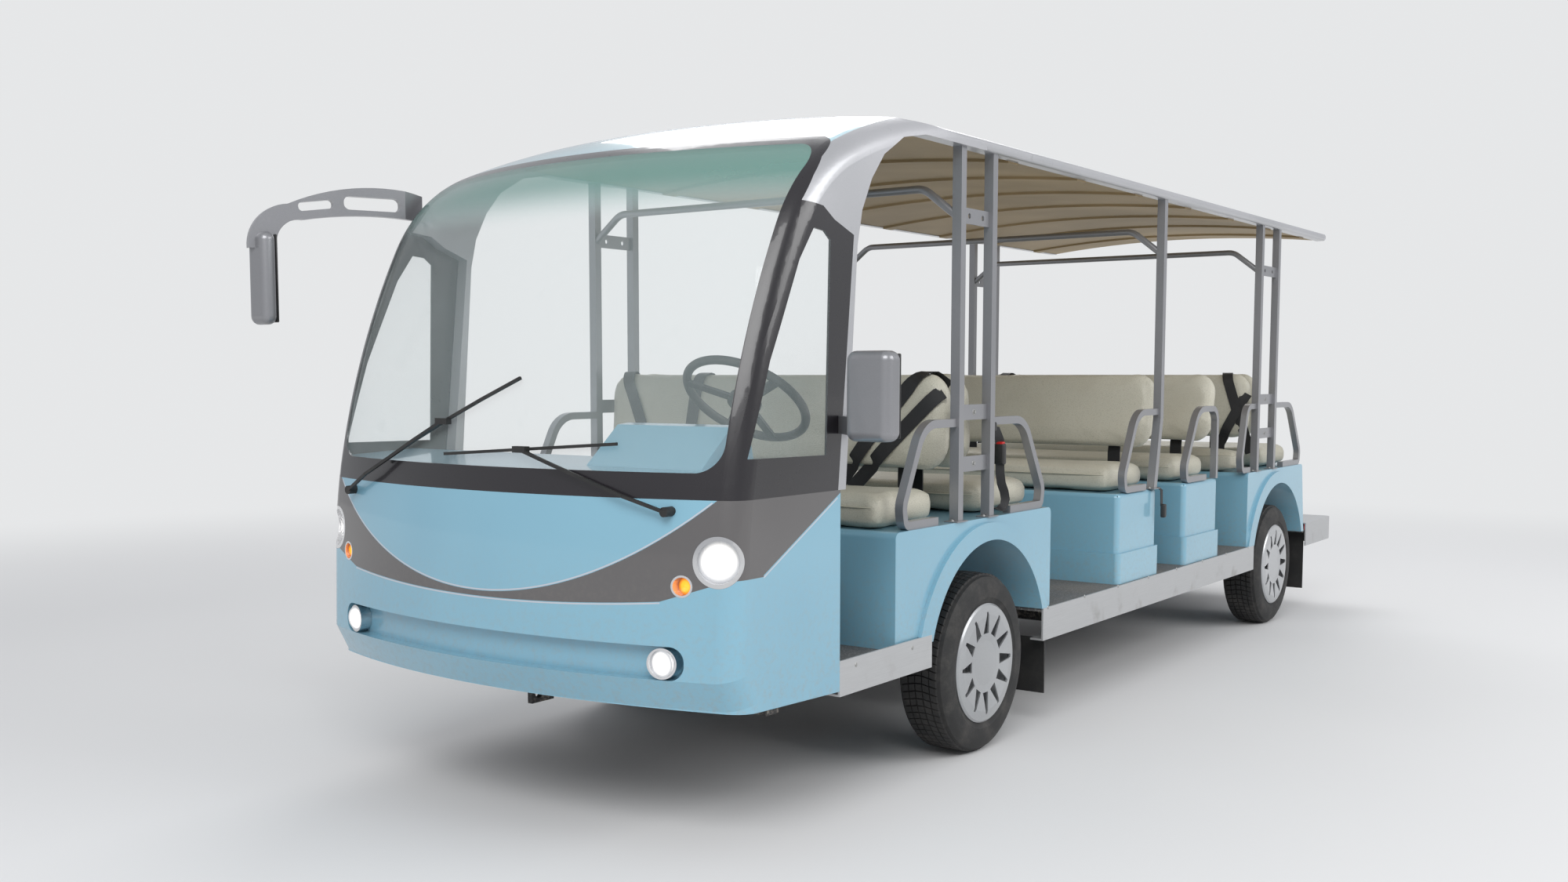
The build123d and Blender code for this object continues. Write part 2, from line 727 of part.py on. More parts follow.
# Rear footplate with a lamp in each side of its skirt
footplate_front_x = rear_box_foot_x - 4.0
footplate_top_z = 440.0
footplate_low_z = 326.0
footplate_round = 40.0
rear_lamp_inset = 185.0
rear_lamp_y = body_half_width - rear_lamp_inset
rear_lamp_z = 380.0
rear_lamp_size = (14.0, 150.0, 60.0)
footplate_length = rear_axle_x + footplate_front_x - rear_x
footplate_high = footplate_top_z - footplate_low_z
with BuildPart() as rear_footplate:
    with Locations((rear_x + footplate_length / 2, 0, footplate_low_z)):
        Box(footplate_length, 2 * body_half_width, footplate_high, align=low_left)
    fillet(rear_footplate.edges().filter_by(Axis.Z).group_by(Axis.X)[0], radius=footplate_round)
    with Locations((rear_x + footplate_length / 2 + skin, 0, footplate_low_z)):
        Box(footplate_length, 2 * floor_half_width, footplate_high - skin, align=low_left, mode=Mode.SUBTRACT)
    with Locations(*[(rear_x, side * rear_lamp_y, rear_lamp_z) for side in (1, -1)]):
        Box(4 * rear_lamp_size[0], rear_lamp_size[1] + 2 * fit_gap, rear_lamp_size[2] + 2 * fit_gap,
            mode=Mode.SUBTRACT)
save(rear_footplate.part, "rear_footplate")

with BuildPart() as rear_lamps:
    with Locations(*[(rear_x, side * rear_lamp_y, rear_lamp_z) for side in (1, -1)]):
        Box(*rear_lamp_size, align=(Align.MIN, Align.CENTER, Align.CENTER))
save(rear_lamps.part, "rear_lamps")

# Chassis rails, kicked up over the rear axle, with the springs' hangers
rail_y = 325.0
rail_wide = 50.0
rail_high = 80.0
rail_top_z = floor_z - floor_thickness
rail_low_z = rail_top_z - rail_high
kick_up = 90.0
kick_half = 330.0
kick_slope = 100.0
rail_front_setback = 270.0
rail_rear_setback = 55.0
rail_front_x = front_x - rail_front_setback
rail_rear_x = rear_x + rail_rear_setback
spring_half = 400.0
spring_camber = 34.0
leaf_thick = 8.0
leaf_count = 4
leaf_width = 50.0
beam_low_z = 196.0
beam_high = 46.0
axle_tube_radius = 32.0
# Columns: axle's x, height of the spring's seat
spring_table = [
    (front_axle_x, beam_low_z + beam_high),
    (rear_axle_x, hub_z - axle_tube_radius - leaf_count * leaf_thick),
]
hanger_size = (30.0, 50.0, 26.0)
# Columns: x, rise above the straight rail
rail_line = [
    (rail_front_x, 0), (rear_axle_x + kick_half + kick_slope, 0), (rear_axle_x + kick_half, kick_up),
    (rear_axle_x - kick_half, kick_up), (rear_axle_x - kick_half - kick_slope, 0), (rail_rear_x, 0),
]
rail_pieces = []
for (x_one, rise_one), (x_two, rise_two) in zip(rail_line, rail_line[1:]):
    rail_pieces.append(prism_xz([
        (x_one, rail_low_z + rise_one), (x_one, rail_top_z + rise_one), (x_two, rail_top_z + rise_two),
        (x_two, rail_low_z + rise_two),
    ], rail_y - rail_wide / 2, rail_y + rail_wide / 2, 0))
with BuildPart() as hangers:
    for axle_x, seat_z in spring_table:
        low_z = seat_z + (leaf_count - 2) * leaf_thick + spring_camber
        for sign in (1, -1):
            with Locations((axle_x + sign * (spring_half + hanger_size[0] / 2), rail_y, low_z)):
                Box(hanger_size[0], hanger_size[1], rail_low_z + hanger_size[2] - low_z, align=low_left)
    for piece in rail_pieces:
        add(piece, mode=Mode.SUBTRACT)
left_rail = kept_apart(*rail_pieces, hangers.part)
right_rail = mirror(left_rail, about=Plane.XZ)

# Cross members between the rails, outriggers beside them, and risers under the footplate
cross_high = 50.0
cross_drop = 2.0
# Columns: where x starts, x
cross_table = [
    (front_axle_x, 620.0), (front_axle_x, -520.0), (row_two_x, -205.0), (row_three_x, -220.0),
    (rear_axle_x, 490.0), (rear_axle_x, -560.0),
]
cross_xs = [start_x + x for start_x, x in cross_table]
end_xs = [rail_front_x - rail_wide / 2, rail_rear_x + rail_wide / 2]
cross_z = rail_top_z - cross_drop - cross_high
inner_rail_y = rail_y - rail_wide / 2
outer_rail_y = rail_y + rail_wide / 2
riser_half = 25.0
riser_inset = 139.0
riser_y = floor_half_width - riser_inset
# Columns: x, y and low z of the risers
riser_table = [
    (cross_xs[-1], riser_y, cross_z + cross_high),
    (rail_rear_x + 2 * riser_half, rail_y, rail_top_z),
]
with BuildPart() as crosses:
    with Locations(*[(x, 0, cross_z) for x in cross_xs]):
        Box(rail_wide, 2 * inner_rail_y, cross_high, align=low_left)
outrigger_length = floor_half_width - outer_rail_y
with BuildPart() as outriggers:
    with Locations(*[(x, outer_rail_y, cross_z) for x in cross_xs + end_xs[:1]]):
        Box(rail_wide, outrigger_length, cross_high, align=(Align.CENTER, Align.MIN, Align.MIN))
    mirror(about=Plane.XZ)
with BuildPart() as risers:
    for x, y, low_z in riser_table:
        with Locations((x, y, low_z), (x, -y, low_z)):
            Box(2 * riser_half, 2 * riser_half, footplate_top_z - skin - low_z, align=low_left)

# Tow lugs. Columns: end beam's x, lug's x, bore's x
tow_bore_radius = 14.0
tow_plate = 16.0
tow_lug_length = 84.0
tow_front_share = 0.32
tow_eye_wall = 22.0
tow_lug_low_z = 286.0
tow_bore_z = 312.0
tow_table = [
    (end_xs[0], rail_front_x + tow_front_share * tow_lug_length, rail_front_x + tow_lug_length / 2),
    (end_xs[1], rail_rear_x, rail_rear_x - tow_lug_length / 2 + tow_eye_wall),
]
with BuildPart() as end_beams:
    for beam_x, lug_x, bore_x in tow_table:
        with Locations((beam_x, 0, rail_low_z)):
            Box(rail_wide, 2 * inner_rail_y, rail_high, align=low_left)
        with Locations((lug_x, 0, tow_lug_low_z)):
            Box(tow_lug_length, tow_plate, rail_top_z - rail_wide / 2 - tow_lug_low_z, align=low_left)
        with Locations((bore_x, 0, tow_bore_z)):
            Cylinder(tow_bore_radius, 2 * tow_plate, rotation=(90, 0, 0), mode=Mode.SUBTRACT)
chassis_frame = kept_apart(left_rail, right_rail, crosses.part, outriggers.part, risers.part, end_beams.part)
save(chassis_frame, "chassis_frame")

# Front axle beam: columns are y and z, from the middle outwards
kingpin_inset = 81.5
kingpin_y = track_half - kingpin_inset
kingpin_radius = 10.0
kingpin_boss = 20.0
boss_half = 26.0
fork_thick = 16.0
fork_gap = 1.0
beam_half_thick = 24.0
beam_drop_inset = 145.0
beam_arm_inset = 32.0
beam_shoulder_inset = 42.0
beam_drop_y = kingpin_y - beam_drop_inset
beam_arm_y = kingpin_y - beam_arm_inset
beam_shoulder_y = kingpin_y - beam_shoulder_inset
boss_low_z = hub_z - boss_half
boss_high_z = hub_z + boss_half
beam_outline = [
    (0, beam_low_z), (beam_drop_y, beam_low_z), (beam_arm_y, boss_low_z),
    (kingpin_y - kingpin_radius, boss_low_z),
    (kingpin_y - kingpin_radius, boss_high_z), (beam_shoulder_y, boss_high_z),
    (beam_drop_y - kingpin_boss, beam_low_z + beam_high), (0, beam_low_z + beam_high),
]
with BuildPart() as front_axle:
    with BuildSketch(Plane.YZ.offset(front_axle_x - beam_half_thick)):
        with BuildLine():
            Polyline(*beam_outline, close=True)
        make_face()
    extrude(amount=2 * beam_half_thick)
    with Locations((front_axle_x, kingpin_y, hub_z)):
        Cylinder(kingpin_boss, 2 * boss_half)
    mirror(about=Plane.XZ)
    with Locations((front_axle_x, kingpin_y, hub_z), (front_axle_x, -kingpin_y, hub_z)):
        Cylinder(kingpin_radius + pin_gap, 4 * boss_half, mode=Mode.SUBTRACT)
save(front_axle.part, "front_axle")

# Steering knuckles, with fork, kingpin, spindle, brake plate and steering arm
spindle_radius = 17.0
spindle_root_gap = 27.0
spindle_root_y = kingpin_y + spindle_root_gap
spindle_tip = 52.0
spindle_end_y = track_half + spindle_tip
web_thick = 14.0
backing_radius = 112.0
backing_thick = 5.0
arm_length = 120.0
arm_z = 214.0
arm_thick = 14.0
tie_radius = 9.0
tie_pin_radius = 8.0
tie_eye_radius = 16.0
tie_eye_high = 24.0
open_pivot_gap = 1.0
hub_depth = 30.0
hub_inner_y = track_half - hub_depth
flange_y = spindle_root_y + web_thick


def knuckle(side):
    """Steering knuckle on one side, 1 for left and -1 for right."""
    fork_z = boss_half + fork_gap + fork_thick / 2
    arm_top = hub_z - boss_half - fork_gap - fork_thick
    with BuildPart() as part:
        for z_mid in (hub_z + fork_z, hub_z - fork_z):
            with Locations((front_axle_x, side * kingpin_y, z_mid)):
                Cylinder(kingpin_boss, fork_thick)
            with Locations((front_axle_x, side * (kingpin_y + flange_y) / 2, z_mid)):
                Box(2 * kingpin_boss, flange_y - kingpin_y, fork_thick)
        with Locations((front_axle_x, side * (spindle_root_y + web_thick / 2), hub_z)):
            Box(2 * kingpin_boss, web_thick, 2 * (boss_half + fork_gap + fork_thick))
        with Locations((front_axle_x, side * kingpin_y, hub_z)):
            Cylinder(kingpin_radius, 2 * (boss_half + fork_gap) + fork_thick)
        with Locations((front_axle_x, side * (spindle_root_y + spindle_end_y) / 2, hub_z)):
            Cylinder(spindle_radius, spindle_end_y - spindle_root_y, rotation=(90, 0, 0))
        with Locations((front_axle_x, side * (flange_y - backing_thick / 2), hub_z)):
            Cylinder(backing_radius, backing_thick, rotation=(90, 0, 0))
        with Locations((front_axle_x, side * kingpin_y, (arm_top + arm_z) / 2)):
            Cylinder(kingpin_boss, arm_top - arm_z + arm_thick)
        with Locations((front_axle_x - arm_length / 2, side * kingpin_y, arm_z)):
            Box(arm_length, 2 * tie_eye_radius, arm_thick)
        with Locations((front_axle_x - arm_length, side * kingpin_y, arm_z)):
            Cylinder(tie_eye_radius, arm_thick)
            Cylinder(tie_pin_radius, arm_thick / 2 + 2 * fork_gap + tie_eye_high, align=high_end)
    return part.part


save(knuckle(1), "knuckle_left")
save(knuckle(-1), "knuckle_right")

# Tie rod: a closed eye on the left, an open one on the right
tie_z = arm_z - arm_thick / 2 - fork_gap - tie_eye_high / 2
with BuildPart() as tie_rod:
    with Locations((front_axle_x - arm_length, 0, tie_z)):
        Cylinder(tie_radius, 2 * (kingpin_y - tie_eye_radius + fork_gap), rotation=(90, 0, 0))
    for side, gap in ((1, pin_gap), (-1, open_pivot_gap)):
        with Locations((front_axle_x - arm_length, side * kingpin_y, tie_z)):
            Cylinder(tie_eye_radius, tie_eye_high)
            Cylinder(tie_pin_radius + gap, 2 * tie_eye_high, mode=Mode.SUBTRACT)
save(tie_rod.part, "tie_rod")

# Rear axle and motor
diff_radius = 92.0
diff_half = 70.0
diff_round = 25.0
motor_radius = 92.0
motor_length = 270.0
motor_seat_gap = 1.0
with BuildPart() as rear_axle:
    with Locations((rear_axle_x, 0, hub_z)):
        Cylinder(axle_tube_radius, 2 * flange_y, rotation=(90, 0, 0))
        Cylinder(diff_radius, 2 * diff_half, rotation=(90, 0, 0))
        Cylinder(spindle_radius, 2 * spindle_end_y, rotation=(90, 0, 0))
    rims = rear_axle.edges().filter_by(GeomType.CIRCLE).filter_by(lambda e: abs(e.radius - diff_radius) < 1)
    fillet(rims, radius=diff_round)
    with Locations(*[(rear_axle_x, side * (flange_y - backing_thick / 2), hub_z) for side in (1, -1)]):
        Cylinder(backing_radius, backing_thick, rotation=(90, 0, 0))
save(rear_axle.part, "rear_axle")

with BuildPart() as drive_motor:
    with Locations((rear_axle_x + diff_radius + motor_length / 2, 0, hub_z)):
        Cylinder(motor_radius, motor_length, rotation=(0, 90, 0))
    with Locations((rear_axle_x + diff_radius, 0, hub_z)):
        Cylinder(motor_radius / 2, 2 * diff_radius, rotation=(0, 90, 0))
    with Locations((rear_axle_x, 0, hub_z)):
        Cylinder(diff_radius, 2 * (diff_half + motor_seat_gap), rotation=(90, 0, 0), mode=Mode.SUBTRACT)
save(drive_motor.part, "drive_motor")

# Leaf springs: packs of leaves, the lowest leaf the shortest
short_leaf_share = 0.4
with BuildPart() as springs:
    for axle_x, seat_z in spring_table:
        for leaf in range(leaf_count):
            half = spring_half * (short_leaf_share + (1 - short_leaf_share) * leaf / (leaf_count - 1))
            low_z = seat_z + leaf * leaf_thick
            tip_z = low_z + spring_camber * (half / spring_half) ** 2
            with BuildSketch(Plane.XZ.offset(-rail_y - leaf_width / 2)):
                with BuildLine():
                    under = ThreePointArc((axle_x - half, tip_z), (axle_x, low_z), (axle_x + half, tip_z))
                    tip = Line(under @ 1, (axle_x + half, tip_z + leaf_thick))
                    over = ThreePointArc(
                        tip @ 1, (axle_x, low_z + leaf_thick), (axle_x - half, tip_z + leaf_thick)
                    )
                    Line(over @ 1, under @ 0)
                make_face()
            extrude(amount=leaf_width)
    mirror(about=Plane.XZ)
save(springs.part, "leaf_springs")

# Wheels and tyres. Columns: label, axle x, side
wheel_table = [
    ("front_left", front_axle_x, 1), ("front_right", front_axle_x, -1),
    ("rear_left", rear_axle_x, 1), ("rear_right", rear_axle_x, -1),
]


def turned(axle_x, side, points):
    """Ring turned about the wheel's axle from (radius, distance outboard of the wheel's centre) points."""
    with BuildPart() as ring:
        with BuildSketch(Plane.YZ.offset(axle_x)):
            with BuildLine():
                Polyline(*[(side * (track_half + out), hub_z + radius) for radius, out in points], close=True)
            make_face()
        revolve(axis=Axis((axle_x, 0, hub_z), (0, 1, 0)))
    return ring.part


def both_ways(half_outline):
    """A half outline and its mirror image across the wheel's centre."""
    inboard = [(radius, -out) for radius, out in half_outline]
    return inboard + half_outline[::-1]


half_tyre = tyre_width / 2
rim_radius = 165.0
rim_wall = 5.0
rim_half_width = 70.0
flange_radius = 182.0
bead_radius = rim_radius + rim_wall
bead_lap = 1.0
bead_rise = 45.0
wall_drop = 40.0
shoulder_drop = 12.0
tread_inset = 23.5
# Columns: radius, distance from the wheel's centre plane
half_tyre_outline = [
    (bead_radius, rim_half_width - rim_wall), (flange_radius, rim_half_width - bead_lap),
    (rim_radius + bead_rise, half_tyre), (tyre_radius - wall_drop, half_tyre),
    (tyre_radius - shoulder_drop, half_tyre - shoulder_drop), (tyre_radius, half_tyre - tread_inset),
]
hub_radius = 34.0
drum_radius = 105.0
drum_wall = 8.0
disc_face = 26.0
well_depth = 25.0
well_radius = rim_radius - well_depth
well_inboard = 20.0
dish_depth = 10.0
barrel_step = 22.0
rim_lip = 20.0
hub_lip = 12.0
hub_nose = 14.0
hub_face = hub_inner_y - track_half
rim_points = [
    (bead_radius, rim_wall - rim_half_width), (flange_radius, bead_lap - rim_half_width),
    (flange_radius, -rim_half_width - rim_wall), (rim_radius, -rim_half_width), (well_radius, -well_inboard),
    (well_radius, disc_face - rim_wall), (drum_radius + drum_wall, disc_face - rim_wall),
    (drum_radius + drum_wall, hub_face), (drum_radius, hub_face), (drum_radius, disc_face - 2 * rim_wall),
    (hub_radius, disc_face - 2 * rim_wall), (hub_radius, hub_face + hub_lip),
    (spindle_radius + pin_gap, hub_face + hub_lip), (spindle_radius + pin_gap, disc_face + hub_nose),
    (hub_radius, disc_face + hub_nose), (hub_radius, disc_face), (rim_radius - barrel_step, disc_face),
    (rim_radius - barrel_step, -dish_depth), (rim_radius, rim_half_width - rim_lip),
    (rim_radius, rim_half_width), (flange_radius - 2 * rim_wall, rim_half_width + rim_wall),
    (flange_radius, rim_half_width + rim_wall), (flange_radius, rim_half_width - bead_lap),
    (bead_radius, rim_half_width - rim_wall),
]
# Wheel cover's outer face: radius, distance outboard of the wheel's centre plane
cover_radius = 186.0
cover_wall = 5.0
cover_lip = 3.0
cover_seat = rim_half_width + rim_wall
cover_face = [(0, 79.0), (70.0, 79.0), (150.0, 87.0), (180.0, 83.0)]
cover_points = cover_face + [
    (cover_radius, cover_seat + cover_lip), (cover_radius, cover_seat), (173.0, cover_seat),
    (cover_face[2][0], cover_face[2][1] - cover_wall), (cover_face[1][0], cover_face[1][1] - cover_wall),
    (0, cover_face[0][1] - cover_wall),
]
spoke_count = 12
slot_inner_radius = 92.0
slot_outer_radius = 160.0
slot_width = 34.0
slot_flare_angle = 80.0
for label, axle_x, side in wheel_table:
    save(turned(axle_x, side, both_ways(half_tyre_outline)), f"tyre_{label}")
    wheel_face = Plane(origin=(axle_x, side * track_half, hub_z), x_dir=(1, 0, 0), z_dir=(0, side, 0))
    with BuildPart() as slots:
        with BuildSketch(wheel_face):
            with PolarLocations((slot_inner_radius + slot_outer_radius) / 2, spoke_count):
                Trapezoid(slot_width, slot_outer_radius - slot_inner_radius, slot_flare_angle, rotation=-90)
        extrude(amount=tyre_width)
    cover = less(turned(axle_x, side, cover_points), slots.part)
    save(joined(turned(axle_x, side, rim_points), cover), f"wheel_{label}")

# Seats. Columns: node, where x starts, cushion's front x and rear x, backrest's foot x, way it faces, lean,
# rear face of the box that carries the backrest from behind
cushion_high = 104.0
cushion_inset = 55.0
cushion_half_width = body_half_width - cushion_inset
cushion_round = 28.0
back_high = 335.0
back_thick = 78.0
back_low_z = 862.0
back_corner_round = 85.0
upright_lean = 22.0
easy_lean = 70.0
seat_table = [
    ("seats_front", front_axle_x, 560.0, 205.0, 155.0, 1, upright_lean, None),
    ("seats_front", front_axle_x, -45.0, -425.0, 5.0, -1, upright_lean, None),
    ("seats_middle", row_two_x, -30.0, -395.0, -445.0, 1, easy_lean, -middle_boxes[0][1]),
    ("seats_middle", row_three_x, -15.0, -395.0, -450.0, 1, easy_lean, -middle_boxes[1][1]),
    ("seats_rear", rear_axle_x, 460.0, 300.0, 245.0, 1, upright_lean, None),
    ("seats_rear", rear_axle_x, 40.0, -360.0, 105.0, -1, upright_lean, None),
]


def cushion(x_front, x_rear):
    """Bench cushion on its box, rounded at its ends and along its top."""
    with BuildPart() as part:
        with Locations(((x_front + x_rear) / 2, 0, box_top_z + fit_gap)):
            Box(x_front - x_rear, 2 * cushion_half_width, cushion_high, align=low_left)
        fillet(part.edges().filter_by(Axis.Z), radius=cushion_round)
        fillet(part.faces().sort_by(Axis.Z)[-1].edges(), radius=cushion_round)
    return part.part


def backrest(x_back, facing, lean):
    """Leaning backrest with rounded corners, centred on its foot."""
    slope = Vector(-facing * lean, 0, back_high).normalized()
    face = Vector(facing * slope.Z, 0, -facing * slope.X)
    foot = Vector(x_back, 0, back_low_z)
    length = sqrt(back_high**2 + lean**2)
    with BuildPart() as part:
        with BuildSketch(Plane(origin=foot - face * (back_thick / 2), x_dir=(0, facing, 0), z_dir=face)):
            with Locations((0, length / 2)):
                RectangleRounded(2 * cushion_half_width, length, back_corner_round)
        extrude(amount=back_thick)
    return part.part


for node in ("seats_front", "seats_middle", "seats_rear"):
    pieces = []
    for name, start_x, x_front, x_rear, x_back, facing, lean, _ in seat_table:
        if name == node:
            pieces += [cushion(start_x + x_front, start_x + x_rear), backrest(start_x + x_back, facing, lean)]
    save(kept_apart(*pieces), node)

# Brackets that carry the backrests, two to each, on the box's top or on its rear face
bracket_thick = 6.0
bracket_wide = 50.0
bracket_y = 500.0
bracket_share = 0.6
bracket_drop = 40.0


def bracket(start_x, x_back, facing, lean, box_rear_x, y):
    slope = lean / back_high
    foot_gap = back_thick / 2 * sqrt(1 + slope**2)
    behind = x_back - facing * foot_gap
    low_z = box_top_z if box_rear_x is None else box_top_z - bracket_drop
    high_z = back_low_z + back_high * bracket_share
    high_x = behind - facing * lean * bracket_share
    outer = facing * bracket_thick
    span = (y - bracket_wide / 2, y + bracket_wide / 2)
    strip = prism_xz([
        (behind, low_z), (behind, back_low_z), (high_x, high_z), (high_x - outer, high_z),
        (behind - outer, back_low_z), (behind - outer, low_z),
    ], *span, start_x)
    if box_rear_x is None:
        return strip
    tab = prism_xz([
        (behind - outer, low_z), (box_rear_x, low_z), (box_rear_x, low_z + 2 * bracket_thick),
        (behind - outer, low_z + 2 * bracket_thick),
    ], *span, start_x)
    return joined(strip, tab)


save(
    kept_apart(*[
        bracket(start_x, x_back, facing, lean, box_rear_x, y)
        for _, start_x, _, _, x_back, facing, lean, box_rear_x in seat_table for y in (-bracket_y, bracket_y)
    ]),
    "backrest_brackets",
)

# Batteries under the middle seats
battery_inset = 93.0
battery_high = 270.0
battery_margin = 30.0
with BuildPart() as battery_pack:
    for x_front, depth in middle_boxes:
        with Locations((x_front - depth / 2, 0, floor_z)):
            Box(depth - 2 * battery_margin, 2 * (box_half_width - battery_inset), battery_high, align=low_left)
save(battery_pack.part, "battery_pack")

save(kept_apart(lamp_pair("head"), lamp_pair("fog")), "front_lamps")
save(lamp_pair("turn"), "turn_lamps")

# Steering column's line
driver_inset = 305.0
driver_y = body_half_width - driver_inset
wheel_setback = 590.0
wheel_z = 1105.0
wheel_centre = Vector(front_x - wheel_setback, driver_y, wheel_z)
column_tilt = 38.0
column_axis = Vector(-sin(radians(column_tilt)), 0, cos(radians(column_tilt)))
tilted_plane = Plane(origin=wheel_centre, x_dir=(0, 1, 0), z_dir=column_axis)
column_radius = 22.0
column_length = 320.0
column_drop = 28.0
shaft_radius = 12.0

# Dashboard. Columns: x ahead of the front end, z
dash_wall = 8.0
dash_top_z = 945.0
dash_rear_x = -450.0
dash_front_x = -50.0
dash_line = [
    (dash_front_x, 930.0), (dash_rear_x, dash_top_z), (-465.0, 860.0), (-270.0, 640.0), (-218.0, floor_z),
]
hump_points = [(dash_rear_x, 941.0), (-428.0, 1028.0), (-394.0, 1044.0), (-352.0, 1040.0), (-220.0, 930.0)]
hump_shift = 60.0
hump_y = driver_y - hump_shift
hump_half = 190.0
dash_side_wall = 2.0
dash_inside = [(x + dash_wall, z - dash_wall) for x, z in dash_line]
dash_inside += [(dash_front_x + overrun, floor_z - overrun), (dash_front_x + overrun, frame_low_z)]
with BuildPart() as hump:
    add(prism_xz(hump_points, hump_y - hump_half, hump_y + hump_half, front_x))
with BuildPart() as column_hole:
    with BuildSketch(tilted_plane.offset(-column_drop)):
        Circle(column_radius + fit_gap)
    extrude(amount=-2 * column_length)
half_inside = body_half_width - dash_side_wall
dash_shell = less(
    prism_xz(dash_line + [(dash_front_x, floor_z)], -body_half_width, body_half_width, front_x),
    prism_xz(dash_inside, -half_inside, half_inside, front_x),
)
dash_whole = common(joined(dash_shell, hump.part), front_volume(skin + fit_gap))
save(less(dash_whole, column_hole.part), "dashboard")

# Steering wheel on its shaft, column and pedals
ring_radius = 172.0
ring_thick = 12.0
hub_cap_radius = 46.0
hub_cap_high = 22.0
spoke_width = 26.0
spoke_thick = 8.0
with BuildPart() as steering_wheel:
    with BuildSketch(Plane(origin=wheel_centre, x_dir=column_axis, z_dir=(0, 1, 0))):
        with Locations((0, ring_radius)):
            Circle(ring_thick)
    revolve(axis=Axis(wheel_centre, column_axis))
    with BuildSketch(tilted_plane.offset(-hub_cap_high)):
        Circle(hub_cap_radius)
    extrude(amount=hub_cap_high)
    with BuildSketch(tilted_plane.offset(-hub_cap_high / 2)):
        with PolarLocations(ring_radius / 2, 3, start_angle=90):
            Rectangle(ring_radius, spoke_width)
    extrude(amount=spoke_thick)
    with BuildSketch(tilted_plane.offset(-hub_cap_high)):
        Circle(shaft_radius + pin_gap)
    extrude(amount=hub_cap_high - spoke_thick, mode=Mode.SUBTRACT)
save(steering_wheel.part, "steering_wheel")

# Pedals. Columns: x ahead of the front end, z. The first two points lie on the toe board
pedal_points = [
    (-261.5, 600.0), (-254.5, 568.0), (-320.0, 540.0), (-328.0, 500.0), (-338.0, 500.0), (-345.0, 590.0),
    (-335.0, 590.0),
]
pedal_shifts = (120.0, 20.0)
pedal_ys = [driver_y - shift for shift in pedal_shifts]
pedal_half = 25.0
with BuildPart() as column:
    with BuildSketch(tilted_plane.offset(-column_drop)):
        Circle(column_radius)
    extrude(amount=-column_length)
    with BuildSketch(tilted_plane.offset(-column_drop)):
        Circle(shaft_radius)
    extrude(amount=column_drop - spoke_thick - fork_gap)
pedals = [prism_xz(pedal_points, y - pedal_half, y + pedal_half, front_x) for y in pedal_ys]
save(kept_apart(column.part, *pedals), "column_and_pedals")

# Wipers. Columns: side, blade centre y, blade centre z, blade tilt in degrees
wiper_table = [(1, 150.0, 985.0, 4.0), (-1, -150.0, 1050.0, 24.0)]
blade_half = 280.0
arm_size = 8.0
blade_proud = 12.0
arm_proud = 22.0
clamp_length = 44.0
cowl_bulge = (cowl_setback - waist_setback) / 2
wiper_steps = 4


def wiper_bar(start, end, proud):
    """Square bar that follows the glass between two places in front view."""
    spots = []
    for step in range(wiper_steps + 1):
        y = start[0] + (end[0] - start[0]) * step / wiper_steps
        z = start[1] + (end[1] - start[1]) * step / wiper_steps
        lift = proud + cowl_bulge * (z < cowl_z)
        spots.append(Vector(screen_x(y, max(z, cowl_z), lift), y, z))
    with BuildPart() as bar:
        for spot, following in zip(spots, spots[1:]):
            with BuildSketch(Plane(origin=spot, z_dir=following - spot)):
                Rectangle(arm_size, arm_size)
            extrude(amount=(following - spot).length)
    return bar.part


with BuildPart() as wipers:
    for side, y_blade, z_blade, tilt in wiper_table:
        reach = (blade_half * cos(radians(tilt)), blade_half * sin(radians(tilt)))
        blade_ends = [(y_blade + way * reach[0], z_blade + way * reach[1]) for way in (-1, 1)]
        add(wiper_bar(*blade_ends, blade_proud))
        add(wiper_bar((side * wiper_pivot_y, wiper_pivot_z), (y_blade, z_blade), arm_proud))
        clamp_x = screen_x(y_blade, z_blade, (blade_proud + arm_proud) / 2)
        with Locations((clamp_x, y_blade, z_blade)):
            Box(arm_proud - blade_proud + arm_size, clamp_length, 2 * arm_size)
        pivot_x = screen_x(wiper_pivot_y, cowl_z, arm_proud + cowl_bulge + arm_size / 2)
        with Locations((pivot_x, side * wiper_pivot_y, wiper_pivot_z)):
            Cylinder(wiper_pivot_radius, overrun, rotation=(0, 90, 0), align=high_end)
save(wipers.part, "wipers")

# Left mirror on a stub from the window post
left_head_size = (70.0, 130.0, 224.0)
head_round = 24.0
left_head_x = -495.0
left_head_z = 1119.0
stub_x = -602.0
stub_z = 1044.0
stub_high = 46.0
stub_half = 25.0
left_head_y = body_half_width + mirror_reach - left_head_size[1] / 2


def mirror_head(x, y, z, size):
    with BuildPart() as head:
        with Locations((front_x + x, y, z)):
            Box(*size)
        fillet(head.edges(), radius=head_round)
    return head.part


root_x = front_x + stub_x
head_x = front_x + left_head_x
with BuildPart() as left_mirror:
    with BuildSketch(Plane.XY.offset(stub_z - stub_high / 2)):
        with BuildLine():
            Polyline(
                (root_x - stub_half, body_half_width), (root_x + stub_half, body_half_width),
                (head_x + stub_half / 2, left_head_y - 2 * stub_half), (head_x + stub_half / 2, left_head_y),
                (head_x - stub_half, left_head_y), (root_x - stub_half, body_half_width + stub_half),
                close=True,
            )
        make_face()
    extrude(amount=stub_high)
    add(mirror_head(left_head_x, left_head_y, left_head_z, left_head_size))

